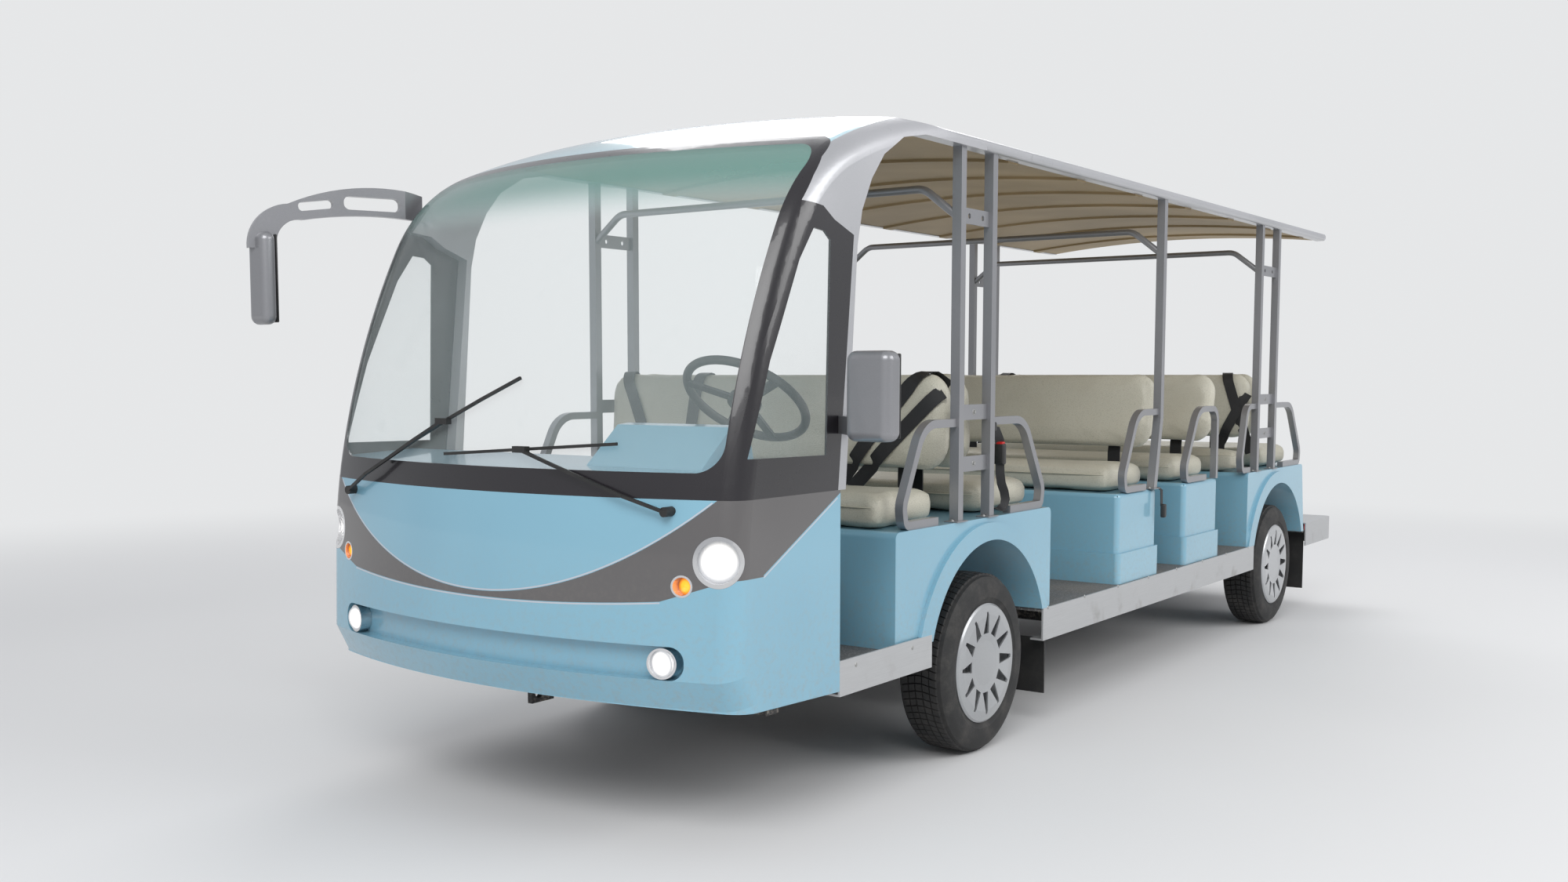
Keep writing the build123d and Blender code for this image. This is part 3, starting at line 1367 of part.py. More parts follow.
# Right mirror on a long band that arches out from the pillar's top. Heights along the band are from the ground
right_head_size = (50.0, 85.0, 270.0)
right_head_x = -55.0
right_head_z = 1453.0
band_thick = 26.0
band_root_x = -475.0
band_root = Vector(front_x + band_root_x, -body_half_width, 0)
right_head_y = right_head_size[1] / 2 - mirror_reach - body_half_width
band_end = Vector(front_x + right_head_x, right_head_y, 0)
band_length = (band_end - band_root).length
band_way = (band_end - band_root).normalized()
band_plane = Plane(origin=band_root, x_dir=band_way, z_dir=band_way.cross(Vector(0, 0, 1)))
# Columns: distance along the band as a share of its length, z
band_top = [(-0.12, 1714.0), (0.44, 1727.0), (0.84, 1672.0)]
band_shoulder = [(1.02, 1632.0), (1.09, 1540.0)]
band_under = [(0.91, 1540.0), (0.88, 1602.0), (0.74, 1628.0)]
band_low = [(0.37, 1648.0), (-0.12, 1636.0)]
# Columns: share of the length, z, length, height, turn
band_slots = [(0.29, 1685.0, 172.0, 40.0, 0.0), (0.66, 1672.0, 104.0, 26.0, -8.0)]


def on_band(share, z):
    return (share * band_length, z)


with BuildPart() as right_mirror:
    with BuildSketch(band_plane):
        with BuildLine():
            top = ThreePointArc(*[on_band(*spot) for spot in band_top])
            shoulder = ThreePointArc(top @ 1, *[on_band(*spot) for spot in band_shoulder])
            across = Line(shoulder @ 1, on_band(*band_under[0]))
            under = ThreePointArc(across @ 1, *[on_band(*spot) for spot in band_under[1:]])
            low = ThreePointArc(under @ 1, *[on_band(*spot) for spot in band_low])
            Line(low @ 1, top @ 0)
        make_face()
        for share, z, length, high, turn in band_slots:
            with Locations(on_band(share, z)):
                RectangleRounded(length, high, high * slot_round_share, rotation=turn, mode=Mode.SUBTRACT)
    extrude(amount=band_thick / 2, both=True)
    with Locations((front_axle_x, -body_half_width, 0)):
        Box(far, far, far, align=(Align.CENTER, Align.MIN, Align.MIN), mode=Mode.SUBTRACT)
    add(mirror_head(right_head_x, right_head_y, right_head_z, right_head_size))
save(kept_apart(left_mirror.part, less(right_mirror.part, outer_block)), "mirrors")

# Mudflaps. Columns: x, top z
flap_gap = 425.0
flap_setback = 30.0
flap_width = 160.0
flap_thick = 6.0
flap_low_z = 110.0
flap_table = [
    (front_axle_x - flap_gap, sill_low_z),
    (rear_axle_x + footplate_front_x - flap_setback, footplate_top_z - skin),
]
with BuildPart() as mudflaps:
    for x, top_z in flap_table:
        with Locations((x, track_half, flap_low_z)):
            Box(flap_thick, flap_width, top_z - flap_low_z, align=low_left)
    mirror(about=Plane.XZ)
save(mudflaps.part, "mudflaps")
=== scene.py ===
# %% [markdown]
# # Dressing an open-sided electric sightseeing bus
#
# The CAD model gives every rigid piece its true shape and place. This script keeps those pieces,
# gives each one a finish, and adds what a CAD model leaves plain: stitched seats, tyre tread,
# lamp glass, belts, trim and small fittings. All lengths are metres, and X runs forward,
# Y to the bus's left and Z up, as in the CAD.

import json
from math import atan2, cos, pi, radians, sin, sqrt

import bmesh
import bpy
from mathutils import Matrix, Vector, noise
from mathutils.bvhtree import BVHTree


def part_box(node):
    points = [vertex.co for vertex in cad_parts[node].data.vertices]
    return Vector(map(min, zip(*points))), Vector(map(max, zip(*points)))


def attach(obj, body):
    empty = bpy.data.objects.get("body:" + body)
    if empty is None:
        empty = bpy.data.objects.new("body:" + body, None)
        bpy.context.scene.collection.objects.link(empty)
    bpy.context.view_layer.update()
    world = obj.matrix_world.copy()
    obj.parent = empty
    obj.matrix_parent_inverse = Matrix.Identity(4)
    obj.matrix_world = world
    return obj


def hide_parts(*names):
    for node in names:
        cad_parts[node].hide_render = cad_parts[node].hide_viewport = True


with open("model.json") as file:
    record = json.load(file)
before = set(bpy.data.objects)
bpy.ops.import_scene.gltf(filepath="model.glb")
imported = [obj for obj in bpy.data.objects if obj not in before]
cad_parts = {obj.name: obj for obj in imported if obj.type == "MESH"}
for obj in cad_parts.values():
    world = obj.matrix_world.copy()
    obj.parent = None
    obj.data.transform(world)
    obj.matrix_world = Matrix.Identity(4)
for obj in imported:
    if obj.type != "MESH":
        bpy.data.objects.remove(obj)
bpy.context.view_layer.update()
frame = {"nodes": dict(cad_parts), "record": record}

# %% [markdown]
# ## Shader maths as expressions
#
# A mask such as "low on the panel and rough with dust" is a short formula. Wiring it by hand takes
# many Math nodes, so a small class wraps a socket and lets Python's operators add those nodes.
# Every other node comes from one method, which takes the node's type, its settings and its inputs.

# %% A finish and its wires


class Wire:
    """A shader socket that takes part in Python arithmetic."""

    def __init__(self, finish, socket):
        self.finish = finish
        self.socket = socket

    def _math(self, operation, first, second):
        return self.finish.node("ShaderNodeMath", {"operation": operation}, {0: first, 1: second})

    def __add__(self, other):
        return self._math("ADD", self, other)

    __radd__ = __add__

    def __sub__(self, other):
        return self._math("SUBTRACT", self, other)

    def __rsub__(self, other):
        return self._math("SUBTRACT", other, self)

    def __mul__(self, other):
        return self._math("MULTIPLY", self, other)

    def __pow__(self, other):
        return self._math("POWER", self, other)

    def above(self, low, high):
        """0 where this is under low, 1 where it is over high, smooth between."""
        ends = {0: self, 1: low, 2: high, 3: 0.0, 4: 1.0}
        return self.finish.node("ShaderNodeMapRange", {"interpolation_type": "SMOOTHSTEP"}, ends)


class Finish:
    """One procedural material, with its Principled shader."""

    def __init__(self, name, color, roughness, metallic=0.0, coat=0.0, coat_roughness=0.05):
        self.material = bpy.data.materials.new(name)
        self.material.use_nodes = True
        self.tree = self.material.node_tree
        self.shader = self.tree.nodes["Principled BSDF"]
        self.shader.inputs["Base Color"].default_value = (*color, 1)
        self.shader.inputs["Roughness"].default_value = roughness
        self.shader.inputs["Metallic"].default_value = metallic
        self.shader.inputs["Coat Weight"].default_value = coat
        self.shader.inputs["Coat Roughness"].default_value = coat_roughness
        self.place = self.node("ShaderNodeTexCoord", output="Object")

    def node(self, kind, settings=None, inputs=None, output=0):
        """Adds a node, with its settings set before its inputs, and returns one output."""
        new = self.tree.nodes.new(kind)
        for name, value in (settings or {}).items():
            setattr(new, name, value)
        for name, value in (inputs or {}).items():
            if isinstance(value, Wire):
                self.tree.links.new(value.socket, new.inputs[name])
            else:
                new.inputs[name].default_value = value
        return Wire(self, new.outputs[output])

    def axis(self, name):
        """One coordinate of the place on the bus, in metres."""
        return self.node("ShaderNodeSeparateXYZ", None, {0: self.place}, name)

    def noise(self, scale, detail=3.0, rough=0.5, stretch=(1, 1, 1)):
        """Soft random pattern between 0 and 1. The scale is in blobs per metre."""
        where = self.node("ShaderNodeMapping", None, {"Vector": self.place, "Scale": stretch})
        pattern = {"Vector": where, "Scale": scale, "Detail": detail, "Roughness": rough}
        return self.node("ShaderNodeTexNoise", None, pattern, "Fac")

    def mix(self, mask, low, high):
        """Colour that goes from low to high with the mask."""
        low = low if isinstance(low, Wire) else (*low, 1)
        high = high if isinstance(high, Wire) else (*high, 1)
        return self.node("ShaderNodeMix", {"data_type": "RGBA"}, {0: mask, 6: low, 7: high}, 2)

    def bump(self, height, strength, distance):
        """Tilts the surface by a height pattern. The distance is the relief in metres."""
        relief = {"Height": height, "Strength": strength, "Distance": distance}
        self.set("Normal", self.node("ShaderNodeBump", None, relief))

    def set(self, socket, value):
        """Gives one input of the shader a number, a colour or another node's output."""
        if isinstance(value, Wire):
            self.tree.links.new(value.socket, self.shader.inputs[socket])
        else:
            self.shader.inputs[socket].default_value = value


finishes = {}

# %% [markdown]
# ## Painted panels
#
# The body is moulded and sprayed in a soft sky blue under clear lacquer. A flat colour would look
# like plastic. Real paint varies a little from panel to panel, has a faint orange peel that breaks up
# reflections, and gathers road dust low down, which also dulls its gloss.

# %% Paints


def paint(name, light, deep, roughness, metallic, coat, dust):
    """Sprayed paint with slow colour change, orange peel and dust near the road."""
    finish = Finish(name, light, roughness, metallic, coat)
    cloud = finish.noise(1.3, 2.0)
    speck = finish.noise(60.0, 4.0, 0.7)
    low_down = 1.0 - finish.axis("Z").above(0.28, 0.85)
    grime = low_down * speck.above(0.42, 0.75) * dust
    color = finish.mix(cloud.above(0.3, 0.7), deep, light)
    finish.set("Base Color", finish.mix(grime, color, (0.30, 0.27, 0.23)))
    finish.set("Roughness", roughness + grime * 0.35 + speck * 0.04)
    finish.bump(finish.noise(210.0, 1.0), 0.10, 0.0004)
    return finish


# Columns: record's slot, name, light colour, deep colour, roughness, metallic, coat, dust
paint_table = [
    ("body_blue", "sky blue lacquer", (0.215, 0.43, 0.545), (0.185, 0.385, 0.50), 0.30, 0.0, 0.8, 0.35),
    ("corner_grey", "warm grey lacquer", (0.118, 0.112, 0.112), (0.095, 0.09, 0.09), 0.34, 0.25, 0.7, 0.25),
    ("roof_skin", "roof blue lacquer", (0.42, 0.63, 0.70), (0.38, 0.59, 0.67), 0.26, 0.0, 0.9, 0.0),
    ("frame_black", "black frame lacquer", (0.013, 0.011, 0.014), (0.008, 0.007, 0.009), 0.26, 0, 0.45, 0.1),
    ("black_steel", "chassis black", (0.020, 0.020, 0.021), (0.012, 0.012, 0.013), 0.55, 0.1, 0.0, 0.9),
]
for slot, *look in paint_table:
    finishes[slot] = paint(*look)


def silver_paint(name, light, deep, roughness):
    """Silver paint: fine flakes catch the light as tiny changes of tilt and brightness."""
    finish = Finish(name, light, roughness, 0.55, 0.45, 0.1)
    flake = finish.node("ShaderNodeTexVoronoi", None, {"Vector": finish.place, "Scale": 900.0}, "Color")
    sparkle = finish.node("ShaderNodeSeparateColor", None, {0: flake}, 0)
    cloud = finish.noise(2.2, 2.0)
    color = finish.mix(cloud.above(0.3, 0.7) * 0.6 + sparkle * 0.4, deep, light)
    scuff = finish.noise(34.0, 5.0, 0.75, (1, 1, 0.25)).above(0.62, 0.8)
    finish.set("Base Color", finish.mix(scuff * 0.35, color, (0.20, 0.20, 0.20)))
    finish.set("Roughness", roughness + sparkle * 0.08 + scuff * 0.2)
    finish.bump(sparkle, 0.05, 0.0002)
    return finish


finishes["silver"] = silver_paint("silver frame paint", (0.50, 0.50, 0.52), (0.42, 0.425, 0.44), 0.36)
# A darker copy of the silver frame paint: painted shade, for the shade the posts stand in. It also goes on
# the grab tubes, hoops, mirrors and base plates.
shade_darkened_silver = silver_paint("silver paint darkened for post shade", (0.30, 0.30, 0.315), (0.24, 0.243, 0.255), 0.32)
finishes["wheel_silver"] = silver_paint("wheel cover silver", (0.50, 0.51, 0.52), (0.38, 0.39, 0.40), 0.28)

# %% [markdown]
# ## Metal, moulding, vinyl and rubber
#
# The sills and the rear step are brushed aluminium, so their grain runs along the bus. The lining is
# a tan moulding with a fine pebble. The floor is anti-slip vinyl, speckled and slightly raised.
# Black rubber and cast iron are the rough dark finishes under and around them.

# %% Sill, lining, floor and rubber
sill = Finish("brushed sill metal", (0.56, 0.565, 0.57), 0.42, 0.45)
grain = sill.noise(28.0, 6.0, 0.65, (0.35, 12, 12))
dirt = sill.noise(9.0, 4.0).above(0.55, 0.8) * (1.0 - sill.axis("Z").above(0.30, 0.42))
brushed = sill.mix(grain, (0.42, 0.425, 0.43), (0.55, 0.555, 0.56))
sill.set("Base Color", sill.mix(dirt * 0.6, brushed, (0.22, 0.20, 0.18)))
sill.set("Roughness", 0.36 + grain * 0.16 + dirt * 0.2)
sill.bump(grain, 0.12, 0.0003)
finishes["sill_grey"] = sill

lining = Finish("tan lining moulding", (0.36, 0.265, 0.14), 0.55)
pebble = lining.noise(420.0, 2.0)
patch = lining.noise(1.7, 3.0)
lining.set("Base Color", lining.mix(patch.above(0.3, 0.75), (0.30, 0.22, 0.115), (0.40, 0.295, 0.16)))
lining.set("Roughness", 0.5 + pebble * 0.15)
lining.bump(pebble, 0.18, 0.0005)
finishes["lining_tan"] = lining

vinyl = Finish("anti-slip floor vinyl", (0.16, 0.155, 0.15), 0.6)
fleck = vinyl.node("ShaderNodeTexVoronoi", None, {"Vector": vinyl.place, "Scale": 130.0}, "Distance")
tread_wear = vinyl.noise(2.4, 4.0).above(0.4, 0.8)
worn = vinyl.mix(tread_wear, (0.105, 0.10, 0.098), (0.155, 0.145, 0.13))
vinyl.set("Base Color", vinyl.mix(fleck.above(0.25, 0.5), (0.20, 0.195, 0.19), worn))
vinyl.set("Roughness", 0.55 + tread_wear * 0.2)
vinyl.bump(1.0 - fleck.above(0.1, 0.45), 0.3, 0.0009)
finishes["floor_vinyl"] = vinyl


def black_rubber(name, shade, roughness, dust):
    """Rubber: dark, matt, with a grey bloom of dust in its pores."""
    finish = Finish(name, (shade, shade, shade), roughness)
    pore = finish.noise(240.0, 3.0, 0.6)
    bloom = finish.noise(14.0, 5.0, 0.7).above(0.4, 0.85) * dust
    finish.set("Base Color", finish.mix(bloom, (shade, shade, shade), (0.11, 0.10, 0.09)))
    finish.set("Roughness", roughness + pore * 0.15)
    finish.bump(pore, 0.2, 0.0004)
    return finish


finishes["tyre"] = black_rubber("tyre rubber", 0.017, 0.62, 0.45)
finishes["rubber_black"] = black_rubber("black rubber", 0.014, 0.48, 0.2)
finishes["battery_black"] = black_rubber("battery case", 0.022, 0.42, 0.35)

cast = Finish("cast motor housing", (0.17, 0.175, 0.18), 0.6, 0.6)
grit = cast.noise(190.0, 4.0, 0.7)
oil = cast.noise(6.0, 4.0).above(0.5, 0.75)
cast.set("Base Color", cast.mix(oil, (0.17, 0.175, 0.18), (0.07, 0.065, 0.06)))
cast.set("Roughness", 0.62 - oil * 0.25)
cast.bump(grit, 0.4, 0.0008)
finishes["motor_grey"] = cast

# %% [markdown]
# ## Seat leatherette
#
# The seats are cream leatherette: a coated cloth with a pressed grain. The grain is a net of small
# creases, which Voronoi cells give, on top of softer folds. The creases are painted darker, as painted
# shade, and random blotches of soiling turn the colour a little darker and yellower.

# %% Leatherette
hide = Finish("cream leatherette", (0.52, 0.50, 0.41), 0.40, 0.0, 0.15, 0.3)
net = {"Vector": hide.place, "Scale": 190.0}
crease = hide.node("ShaderNodeTexVoronoi", {"feature": "DISTANCE_TO_EDGE"}, net, "Distance")
fold = hide.noise(9.0, 4.0, 0.6)
soiled = hide.noise(3.1, 4.0, 0.6).above(0.45, 0.8)
# Painted shade: the colour is darker along the net of creases in the grain.
crease_shaded_grain = hide.mix(crease.above(0.0, 0.12), (0.44, 0.42, 0.34), (0.55, 0.53, 0.44))
hide.set("Base Color", hide.mix(soiled * 0.5, crease_shaded_grain, (0.42, 0.39, 0.30)))
hide.set("Roughness", 0.38 + soiled * 0.12 + (1.0 - crease.above(0.0, 0.2)) * 0.1)
hide.bump(crease.above(0.0, 0.25) * 0.25 + fold * 0.75, 0.5, 0.0035)
finishes["seat_leather"] = hide

# %% [markdown]
# ## Glass and lamps
#
# The windscreen is clear with a green shade band across its top. Thin car glass hardly bends light,
# so alpha with a sharp gloss is enough, and it exports. Lit lamps are lenses over a bright bulb:
# the glow is strongest in the middle of each lens.

# %% Glass
glass = Finish("tinted screen glass", (0.30, 0.42, 0.40), 0.03, 0.0, 0.6, 0.02)
band = glass.axis("Z").above(1.56, 1.70)
smear = glass.noise(5.0, 4.0, 0.7).above(0.5, 0.9)
glass.set("Base Color", glass.mix(band, (0.62, 0.72, 0.72), (0.16, 0.34, 0.30)))
glass.set("Alpha", 0.11 + band * 0.52 + smear * 0.05)
glass.set("Roughness", 0.02 + smear * 0.06)
finishes["glass"] = glass


def lamp_glow(name, rim, core, strength, places):
    """Lit lens in a bright bowl: ribbed, and brightest before the bulb.

    Each place is the lens's centre (x, y, z) on the left, its radius and its turn outwards in degrees.
    """
    finish = Finish(name, rim, 0.12, 0.0, 0.5)
    x, y, z = finish.axis("X"), finish.axis("Y"), finish.axis("Z")
    side = finish.node("ShaderNodeMath", {"operation": "ABSOLUTE"}, {0: y})
    glow = 0.0
    lens = 0.0
    for (lamp_x, lamp_y, lamp_z), radius, turn in places:
        ahead, out, up = x - lamp_x, side - lamp_y, z - lamp_z
        along = ahead * cos(radians(turn)) + out * sin(radians(turn))
        square = ahead * ahead + out * out + up * up - along * along
        away = finish.node("ShaderNodeMath", {"operation": "MAXIMUM"}, {0: square, 1: 0.0}) ** 0.5
        glow = glow + (1.0 - away.above(radius * 0.45, radius * 0.98))
        lens = lens + (1.0 - away.above(radius * 0.985, radius * 1.01))
    rib = finish.node("ShaderNodeMath", {"operation": "SINE"}, {0: y * 1800.0})
    finish.set("Base Color", finish.mix(lens, (0.70, 0.70, 0.71), finish.mix(glow, rim, core)))
    finish.set("Emission Color", finish.mix(glow, (0.0, 0.0, 0.0), core))
    finish.set("Emission Strength", strength)
    finish.set("Metallic", 1.0 - lens)
    finish.bump(rib * lens, 0.25, 0.0006)
    return finish


head_lens = ((2.492, 0.684, 0.729), 0.052, 32.0)
fog_lens = ((2.567, 0.566, 0.480), 0.033, 0.0)
turn_lens = ((2.533, 0.614, 0.669), 0.022, 0.0)
rear_lens = ((-2.645, 0.560, 0.380), 0.200, 0.0)
# Columns: record's slot and material's name, then rim colour, core colour, strength and places
lamp_looks = [
    ("lamp_clear", "lit clear lens", (0.60, 0.61, 0.63), (1.0, 0.97, 0.92), 1.6, [head_lens, fog_lens]),
    ("lamp_amber", "amber lens", (0.80, 0.26, 0.02), (1.0, 0.36, 0.02), 1.1, [turn_lens]),
    ("lamp_red", "red lens", (0.42, 0.015, 0.015), (0.62, 0.03, 0.025), 0.25, [rear_lens]),
]
for slot, *look in lamp_looks:
    finishes[slot] = lamp_glow(*look)

mirror_face = Finish("mirror glass", (0.72, 0.75, 0.77), 0.03, 1.0)
mirror_face.set("Roughness", 0.02 + mirror_face.noise(12.0, 3.0).above(0.5, 0.9) * 0.08)
print(len(finishes), "finishes for the record's slots")

# %% [markdown]
# ## Dressing the CAD pieces
#
# Each CAD node already knows its material slot from the record, so one loop puts a finish on every
# rigid piece. The shapes are not touched: CAD fixes them.

# %% Finish every CAD node
for part in frame["record"]["subparts"]:
    node = frame["nodes"][part["node"]]
    node.data.materials.clear()
    # These nodes take the darker copy of the silver paint, which is painted shade.
    shade_darkened_post = part["node"] in ("roof_posts", "grab_tubes", "armrest_hoops", "mirrors")
    look = shade_darkened_silver if shade_darkened_post else finishes[part["material_slot"]]
    node.data.materials.append(look.material)

# %% [markdown]
# ## Places on the bus
#
# The axles, the hubs' height and the tyres' size are read from the CAD nodes' own boxes, so a change
# in the CAD carries through. The seat rows below are a table that is measured from the front axle.

# %% Axles and helper functions
low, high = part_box("tyre_front_left")
front_axle_x = (low.x + high.x) / 2
hub_z = (low.z + high.z) / 2
wheel_y = (low.y + high.y) / 2
tyre_radius = (high.z - low.z) / 2
tyre_width = high.y - low.y
low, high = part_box("tyre_rear_left")
rear_axle_x = (low.x + high.x) / 2
print("axles at", round(front_axle_x, 3), round(rear_axle_x, 3), "hub height", round(hub_z, 4))


def linked(name, data):
    """Puts some data in the scene as a new object, and returns it."""
    item = bpy.data.objects.new(name, data)
    bpy.context.scene.collection.objects.link(item)
    return item


def finished(bm, name, finish, body, smooth=35.0):
    """Turns a bmesh into a named object that rides on a CAD body, and returns it."""
    mesh = bpy.data.meshes.new(name)
    bm.to_mesh(mesh)
    bm.free()
    piece = linked(name, mesh)
    mesh.materials.append(finish.material)
    for face in mesh.polygons:
        face.use_smooth = True
    mesh.set_sharp_from_angle(angle=radians(smooth))
    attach(piece, body)
    return piece


def rounded(bm, edges, offset, segments):
    """Rounds the edges, and returns the faces that this makes."""
    result = bmesh.ops.bevel(
        bm, geom=edges, offset=offset, segments=segments, profile=0.5, affect="EDGES", material=-1
    )
    return result["faces"]


def block(bm, centre, size, round_by, segments):
    """Adds a box with rounded edges to the bmesh."""
    cube = bmesh.ops.create_cube(bm, size=1.0)["verts"]
    bmesh.ops.scale(bm, verts=cube, vec=size)
    edges = list({edge for vert in cube for edge in vert.link_edges})
    faces = rounded(bm, edges, round_by, segments)
    verts = {vert for face in faces for vert in face.verts}
    verts |= {vert for vert in cube if vert.is_valid}
    bmesh.ops.translate(bm, verts=list(verts), vec=centre)


def spun(bm, geom, centre, axis, steps):
    """Spins some geometry a full turn about an axis through the centre, and welds its ends."""
    bmesh.ops.spin(bm, geom=geom, cent=centre, axis=axis, angle=2 * pi, steps=steps, use_merge=True)
    bmesh.ops.remove_doubles(bm, verts=list(bm.verts), dist=1e-5)


def turned(bm, outline, centre, axis, steps=40):
    """Spins an outline of (radius, along) points about an axis through the centre."""
    along = Vector(axis).normalized()
    side = along.orthogonal().normalized()
    verts = [bm.verts.new(Vector(centre) + side * radius + along * out) for radius, out in outline]
    edges = [bm.edges.new(pair) for pair in zip(verts, verts[1:])]
    spun(bm, verts + edges, centre, along, steps)


# %% [markdown]
# ## Seats
#
# Each bench is a foam block under tight leatherette. The cushion bulges between its seams and its
# sides pull in. A rounded block is remeshed finely, then blown up with a short cloth simulation
# under pressure, and each point's travel is capped. A seam is pressed into its face 26 mm in from
# its edge, and the cover gets its soft folds. The piping comes after that, because the remesh would
# erase it.

# %% Pad maker
pad_forms = {}
skin_size = 0.016
corner_segments = 6
face_round = 0.022
swell_pressure = 4.0
swell_frames = 14
swell_cap = 0.012
seam_inset = 0.026
seam_half_width = 0.013
seam_depth = 0.0055
seam_from = 0.18
waist_reach = 0.020
waist_pull = 0.004
gather_reach = 0.10
gather_depth = 0.0016
soft_depth = 0.0022


def evaluated(piece):
    """The piece's mesh with its modifiers applied. The modifiers are then taken off."""
    depsgraph = bpy.context.evaluated_depsgraph_get()
    mesh = bpy.data.meshes.new_from_object(piece.evaluated_get(depsgraph))
    piece.modifiers.clear()
    return mesh


def rounded_slab(name, width, deep, high, corner):
    """Block with round corners and a round face edge, smaller than the pad by the swelling's cap."""
    bm = bmesh.new()
    cube = bmesh.ops.create_cube(bm, size=1.0)["verts"]
    shrink = 2 * swell_cap
    bmesh.ops.scale(bm, verts=cube, vec=(deep - shrink, width - shrink, high - shrink))
    upright = [e for e in bm.edges if abs(e.verts[0].co.z - e.verts[1].co.z) > high / 2]
    rounded(bm, upright, corner, corner_segments)
    rims = []
    for edge in bm.edges:
        level = abs(edge.verts[0].co.z - edge.verts[1].co.z) < 1e-6
        facing = {abs(round(face.normal.z)) for face in edge.link_faces}
        if level and len(edge.link_faces) == 2 and facing == {0, 1}:
            rims.append(edge)
    rounded(bm, rims, min(face_round, high / 4), 3)
    mesh = bpy.data.meshes.new(name)
    bm.to_mesh(mesh)
    bm.free()
    return linked(name, mesh)


def swell(piece):
    """Blows the pad up with a short cloth simulation, and caps how far each point goes."""
    still = [vertex.co.copy() for vertex in piece.data.vertices]
    cloth = piece.modifiers.new("swell", "CLOTH")
    cloth.settings.use_pressure = True
    cloth.settings.uniform_pressure_force = swell_pressure
    cloth.settings.effector_weights.gravity = 0.0
    for step in range(1, swell_frames + 1):
        bpy.context.scene.frame_set(step)
    blown = evaluated(piece)
    for vertex, was in zip(blown.vertices, still):
        move = vertex.co - was
        if move.length > swell_cap:
            move.length = swell_cap
        vertex.co = was + move
    piece.data = blown
    bpy.context.scene.frame_set(1)


def sew(bm, width, deep, high, corner):
    """Presses the seam into the pad's face, draws its sides in and adds the cover's soft folds."""
    for vert in bm.verts:
        x, y, z = vert.co
        to_side = width / 2 - abs(y)
        to_end = deep / 2 - abs(x)
        if to_side < corner and to_end < corner:
            to_edge = corner - sqrt((corner - to_side) ** 2 + (corner - to_end) ** 2)
        else:
            to_edge = min(to_side, to_end)
        if z > high * seam_from:
            groove = max(0.0, 1 - abs(to_edge - seam_inset) / seam_half_width)
            vert.co.z -= seam_depth * groove**2
        if to_edge < waist_reach:
            pull = waist_pull * max(0.0, 1 - abs(z) / (high * 0.5))
            vert.co.y -= pull if y > 0 else -pull
        if z > 0:
            soft = noise.noise(Vector((x * 7 + width * 31, y * 5 + deep * 17, z * 7)))
            gather = noise.noise(Vector((x * 40, y * 14 + deep * 9, z * 20)))
            slack = max(0.0, 1 - to_edge / gather_reach)
            vert.co.z += soft_depth * soft + gather_depth * gather * slack - soft_depth


def pad(name, width, deep, high, corner, matrix):
    """Bench pad in its own frame, X deep, Y wide, Z high, then placed on the bus by the matrix."""
    piece = rounded_slab(name, width, deep, high, corner)
    remesh = piece.modifiers.new("skin", "REMESH")
    remesh.mode = "VOXEL"
    remesh.voxel_size = skin_size
    bpy.context.view_layer.update()
    piece.data = evaluated(piece)
    swell(piece)
    bm = bmesh.new()
    bm.from_mesh(piece.data)
    bmesh.ops.subdivide_edges(bm, edges=list(bm.edges), cuts=1, use_grid_fill=True)
    bmesh.ops.smooth_vert(
        bm, verts=list(bm.verts), factor=0.5, use_axis_x=True, use_axis_y=True, use_axis_z=True
    )
    sew(bm, width, deep, high, corner)
    bmesh.ops.transform(bm, verts=list(bm.verts), matrix=matrix)
    piece.data.clear_geometry()
    bm.to_mesh(piece.data)
    bm.free()
    piece.data.materials.clear()
    piece.data.materials.append(hide.material)
    for face in piece.data.polygons:
        face.use_smooth = True
    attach(piece, "body")
    pad_forms[name] = (width, deep, high, corner, matrix)
    return piece


# %% [markdown]
# The rows follow the CAD's seat table. Each row has a bench cushion and a leaning backrest, and the
# front row has a second cushion for the driver. The backrest is the same pad stood on edge: its face
# turns to the front or the rear of the bus.

# %% Seat rows
box_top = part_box("seat_box_front")[1].z
# Columns: name, cushion's front x and rear x from the front axle, backrest's foot x, facing, lean
seat_rows = [
    ("row_1", 0.560, 0.205, 0.155, 1, 0.022),
    ("row_2", -0.045, -0.425, 0.005, -1, 0.022),
    ("row_3", -1.075, -1.440, -1.490, 1, 0.070),
    ("row_4", -1.745, -2.125, -2.180, 1, 0.070),
    ("row_5", -2.480, -2.640, -2.695, 1, 0.022),
    ("row_6", -2.900, -3.300, -2.835, -1, 0.022),
]
cushion_high = 0.104
cushion_corner = 0.035
bench_width = 1.38
back_high = 0.335
back_thick = 0.078
back_corner = 0.085
back_low = 0.862
rest_gap = 0.0005
# Columns: cushion's name, its right y and left y
bench_spans = [("_cushion", -0.69, 0.69)]
front_spans = [("_cushion", -0.69, 0.125), ("_driver_cushion", 0.130, 0.69)]
pads = {}
for name, x_front, x_rear, x_back, facing, lean in seat_rows:
    seat_x = front_axle_x + (x_front + x_rear) / 2
    seat_z = box_top + rest_gap + cushion_high / 2
    for label, y_right, y_left in front_spans if name == "row_1" else bench_spans:
        wide = y_left - y_right
        deep = x_front - x_rear
        seat_place = Matrix.Translation((seat_x, (y_left + y_right) / 2, seat_z))
        pads[name + label] = pad(name + label, wide, deep, cushion_high, cushion_corner, seat_place)
    tilt = atan2(lean, back_high)
    stand = Matrix.Rotation(facing * (pi / 2 - tilt), 4, "Y")
    centre = Vector((front_axle_x + x_back - facing * lean / 2, 0, back_low + back_high / 2))
    back_place = Matrix.Translation(centre) @ stand
    label = name + "_backrest"
    pads[label] = pad(label, bench_width, back_high, back_thick, back_corner, back_place)
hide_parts("seats_front")
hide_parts("seats_middle")
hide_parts("seats_rear")
print(len(pads), "pads,", sum(len(p.data.polygons) for p in pads.values()), "faces")

